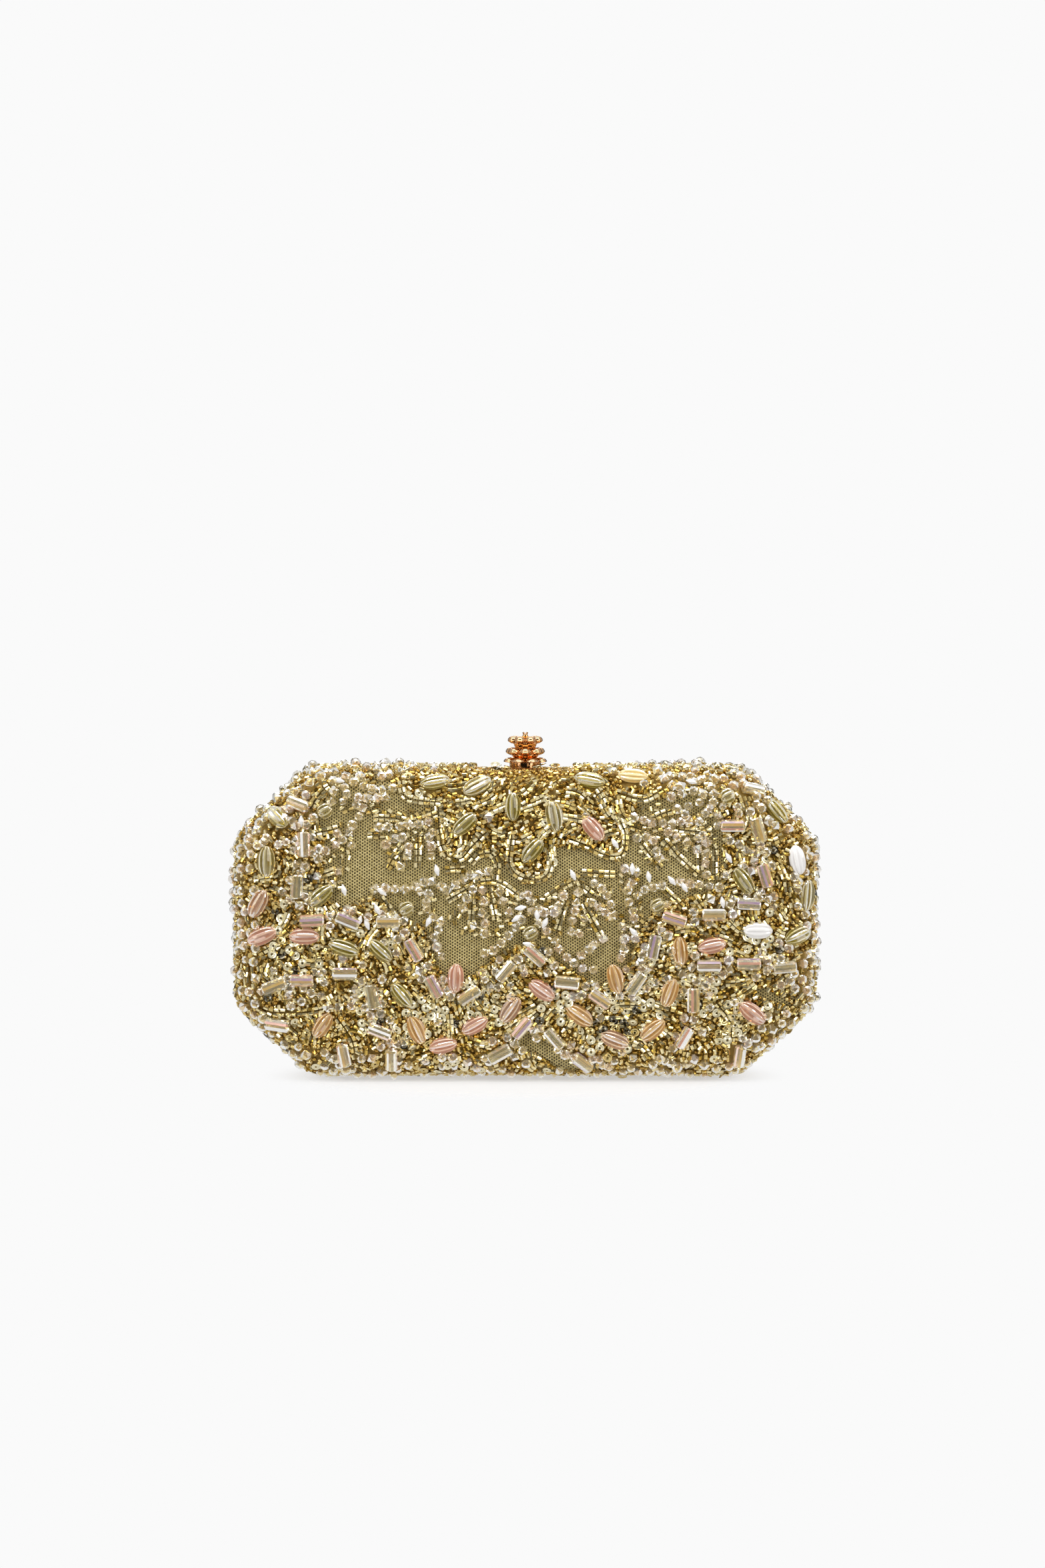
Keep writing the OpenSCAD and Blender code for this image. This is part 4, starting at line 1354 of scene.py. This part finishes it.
def petal_tier(node, first_angle, waist_r, rise):
    """A flower of domed petals on a fluted underside; rise is the share of its height below
    the petals' rim."""
    low, high = node_box(node)
    r_out = (high[0] - low[0]) / 2
    height = high[2] - low[2]
    pitch = math.pi / PETALS
    petal_r = r_out * math.sin(pitch) / (1 + math.sin(pitch))
    reach = r_out - petal_r
    columns, radial, under = PETALS * 24, 18, 8
    theta = 2 * math.pi * np.arange(columns) / columns
    phi = (theta - first_angle + pitch) % (2 * pitch) - pitch
    across = petal_r ** 2 - (reach * np.sin(phi)) ** 2
    rim = reach * np.cos(phi) + np.sqrt(np.clip(across, 0, None))
    rim_z, dome = low[2] + height * rise, height * (1 - rise)
    rings = []
    for k in range(radial):
        u = (k + 0.4) / (radial - 0.6)
        u = 1 - (1 - u) ** 1.6
        r = np.maximum(rim * u, 1.25)
        away = np.hypot(r * np.cos(phi) - reach, r * np.sin(phi)) / petal_r
        lift = np.sqrt(np.clip(1 - np.clip(away, 0, 1) ** 2, 0, 1))
        hub = 0.45 * np.clip(1 - r / (1.1 * reach), 0, 1) ** 0.5
        z = rim_z + dome * np.maximum(lift, hub)
        rings.append(polar(r, theta, z))
    for k in range(under + 1):
        v = k / under
        swell = math.cos(v * math.pi / 2)
        r = waist_r + (rim - waist_r) * swell ** 1.3
        flute = 1 - 0.05 * (1 - np.cos(phi / pitch * math.pi)) * math.sin(v * math.pi)
        z = rim_z - (rim_z - low[2]) * math.sin(v * math.pi / 2) ** 1.2
        rings.append(polar(r * flute, theta, z))
    bottom = rings[-1].copy()
    bottom[:, :2] *= (1.25 / waist_r)
    rings.append(bottom)
    rings.append(rings[0])
    grid = np.array(rings)
    tris = quads(grid.shape[:2])
    obj = make_object(node + "_domed", grid.reshape(-1, 3), tris[:, ::-1],
                      np.zeros(len(tris), int), [rose_gold], True)
    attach(obj, "clasp_lever")
    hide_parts(node)


def make_stem():
    """The turned post, with a fluted neck where each pair of flowers meets."""
    low, high = node_box("clasp_stem")
    tiers = [node_box(tier) for tier in ("lower_petals", "middle_petals", "upper_petals")]
    post_r, n = 1.1, PETALS * 12
    theta = 2 * math.pi * np.arange(n) / n
    profile_rz = [(0.3, low[2]), (post_r, low[2])]
    for (under, over), neck_r in zip(zip(tiers, tiers[1:]), (4.3, 3.8)):
        z0, z1 = under[1][2] - 0.5, over[0][2] + 0.05
        profile_rz += [(post_r, z0), (neck_r * 0.75, z0), (neck_r * 0.86, z0 + 0.3)]
        profile_rz += [(neck_r, z1 - 0.15), (neck_r, z1), (post_r, z1)]
    profile_rz += [(post_r, high[2]), (0.3, high[2])]
    rings = []
    for r, z in profile_rz:
        flute = 1 - 0.06 * (r > 2) * np.abs(np.sin(PETALS * theta))
        rings.append(polar(r * flute, theta, z))
    verts, tris = capped(np.concatenate(rings), quads((len(rings), n)), n)
    obj = make_object("clasp_fluted_stem", verts, tris, np.zeros(len(tris), int), [neck_gold])
    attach(obj, "clasp_lever")
    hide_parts("clasp_stem")


make_stem()
petal_tier("lower_petals", math.pi / PETALS - math.pi / 2, 5.0, 0.22)
petal_tier("middle_petals", -math.pi / 2, 4.5, 0.42)
petal_tier("upper_petals", math.pi / PETALS - math.pi / 2, 4.0, 0.42)


def paint_cad_nodes():
    """Finishes for the CAD parts that stay: frame hardware, clasp works and shells."""
    finishes = {
        frame_gold: ("rear_hinge_leaves", "front_hinge_leaves", "strike_rivets",
                     "clasp_base_rivets", "strike_plate", "clasp_base"),
        dark_gold: ("hinge_pins", "clasp_axle", "clasp_drum"),
        rose_gold: ("clasp_finial",),
        steel: ("clasp_spring",),
        board: ("rear_shell", "front_shell"),
    }
    for mat, nodes in finishes.items():
        for node in nodes:
            mesh = frame["nodes"][node].data
            mesh.materials.clear()
            mesh.materials.append(mat)


paint_cad_nodes()

# ---------------------------------------------------------------- stage
BACKDROP = 0.956
FLOOR_ALBEDO, FLOOR_GLOW = 0.36, 0.48
FLOOR_FADE = (0.052, 0.090)
FLOOR_HALF = 450
# The room's greys, and how far towards straight ahead or behind one turns into the other
ROOM_SIDES, ROOM_AHEAD, ROOM_RAMP = 0.66, 0.03, (0.54, 0.76)
GROUND, GROUND_FADE = 0.8, (-0.40, -0.15)
VIEW_HEIGHT, VIEW_DISTANCE, VIEW_DEGREES = 0.510, 1.8, 2.5
VIEW_TARGET = Vector((-0.0009, 0, 0.095))
SENSOR = 36.0


def area_light(name, position, target, size, power):
    data = bpy.data.lights.new(name, "AREA")
    data.shape = "RECTANGLE"
    data.size, data.size_y = size
    data.energy = power
    obj = bpy.data.objects.new(name, data)
    obj.location = position
    obj.rotation_euler = (Vector(target) - Vector(position)).to_track_quat("-Z", "Y").to_euler()
    scene.collection.objects.link(obj)


def make_floor():
    """A white table top that fades out into the backdrop away from the bag."""
    mat = principled("floor_white", (FLOOR_ALBEDO,) * 3, Roughness=0.8)
    tree, shader = mat.node_tree, shader_of(mat)
    link = tree.links.new
    shader.inputs["Emission Color"].default_value = (1, 1, 1, 1)
    shader.inputs["Emission Strength"].default_value = FLOOR_GLOW
    coords = add_node(tree, "TexCoord")
    far = add_node(tree, "VectorMath", operation="LENGTH")
    fade = map_range(tree, FLOOR_FADE, interpolation_type="SMOOTHERSTEP")
    nothing = add_node(tree, "BsdfTransparent")
    mix = add_node(tree, "MixShader")
    link(coords.outputs["Object"], far.inputs[0])
    link(far.outputs["Value"], fade.inputs["Value"])
    link(fade.outputs["Result"], mix.inputs["Fac"])
    link(shader.outputs["BSDF"], mix.inputs[1])
    link(nothing.outputs["BSDF"], mix.inputs[2])
    link(mix.outputs["Shader"], tree.nodes["Material Output"].inputs["Surface"])
    verts = FLOOR_HALF * np.array([(-1, -1, 0), (1, -1, 0), (1, 1, 0), (-1, 1, 0)])
    make_object("floor", verts, [[0, 1, 2], [0, 2, 3]], [0, 0], [mat])


def make_world():
    """White behind the bag; the room that the beads mirror is darker, darkest fore and aft."""
    world = bpy.data.worlds.new("studio")
    world.use_nodes = True
    tree = world.node_tree
    link = tree.links.new
    room = tree.nodes["Background"]
    seen = add_node(tree, "Background")
    seen.inputs["Color"].default_value = (BACKDROP,) * 3 + (1,)
    coords = add_node(tree, "TexCoord")
    axes = add_node(tree, "SeparateXYZ")
    link(coords.outputs["Generated"], axes.inputs["Vector"])
    ahead = add_node(tree, "Math", operation="ABSOLUTE")
    link(axes.outputs["Y"], ahead.inputs[0])
    shade = add_node(tree, "ValToRGB")
    for element, at, grey in zip(shade.color_ramp.elements, ROOM_RAMP, (ROOM_SIDES, ROOM_AHEAD)):
        element.position = at
        element.color = (grey,) * 3 + (1,)
    link(ahead.outputs[0], shade.inputs["Fac"])
    below = map_range(tree, GROUND_FADE)
    link(axes.outputs["Z"], below.inputs["Value"])
    ground = add_node(tree, "Mix", data_type="RGBA")
    ground.inputs["A"].default_value = (GROUND,) * 3 + (1,)
    link(below.outputs["Result"], ground.inputs["Factor"])
    link(shade.outputs["Color"], ground.inputs[7])
    link(ground.outputs[2], room.inputs["Color"])
    path = add_node(tree, "LightPath")
    mix = add_node(tree, "MixShader")
    link(path.outputs["Is Camera Ray"], mix.inputs["Fac"])
    link(room.outputs["Background"], mix.inputs[1])
    link(seen.outputs["Background"], mix.inputs[2])
    link(mix.outputs["Shader"], tree.nodes["World Output"].inputs["Surface"])
    scene.world = world


def make_stage():
    make_floor()
    make_world()
    scene.view_settings.view_transform = "Standard"
    aim = (0, 0, 0.05)
    area_light("top_box", (0, -0.25, 1.2), aim, (1.2, 0.8), 10.5)
    area_light("left_box", (-1.0, -0.95, 0.5), aim, (0.5, 1.0), 7.5)
    area_light("right_box", (1.0, -0.95, 0.5), aim, (0.5, 1.0), 7.5)
    area_light("back_box", (0, 1.1, 0.8), aim, (0.9, 0.4), 4)


def make_camera():
    data = bpy.data.cameras.new("camera")
    data.sensor_width = SENSOR
    data.lens = SENSOR / (VIEW_HEIGHT / VIEW_DISTANCE)
    obj = bpy.data.objects.new("camera", data)
    rise = VIEW_DISTANCE * math.tan(math.radians(VIEW_DEGREES))
    obj.location = VIEW_TARGET + Vector((0, -VIEW_DISTANCE, rise))
    obj.rotation_euler = (VIEW_TARGET - obj.location).to_track_quat("-Z", "Y").to_euler()
    scene.collection.objects.link(obj)
    scene.camera = obj


make_stage()
make_camera()
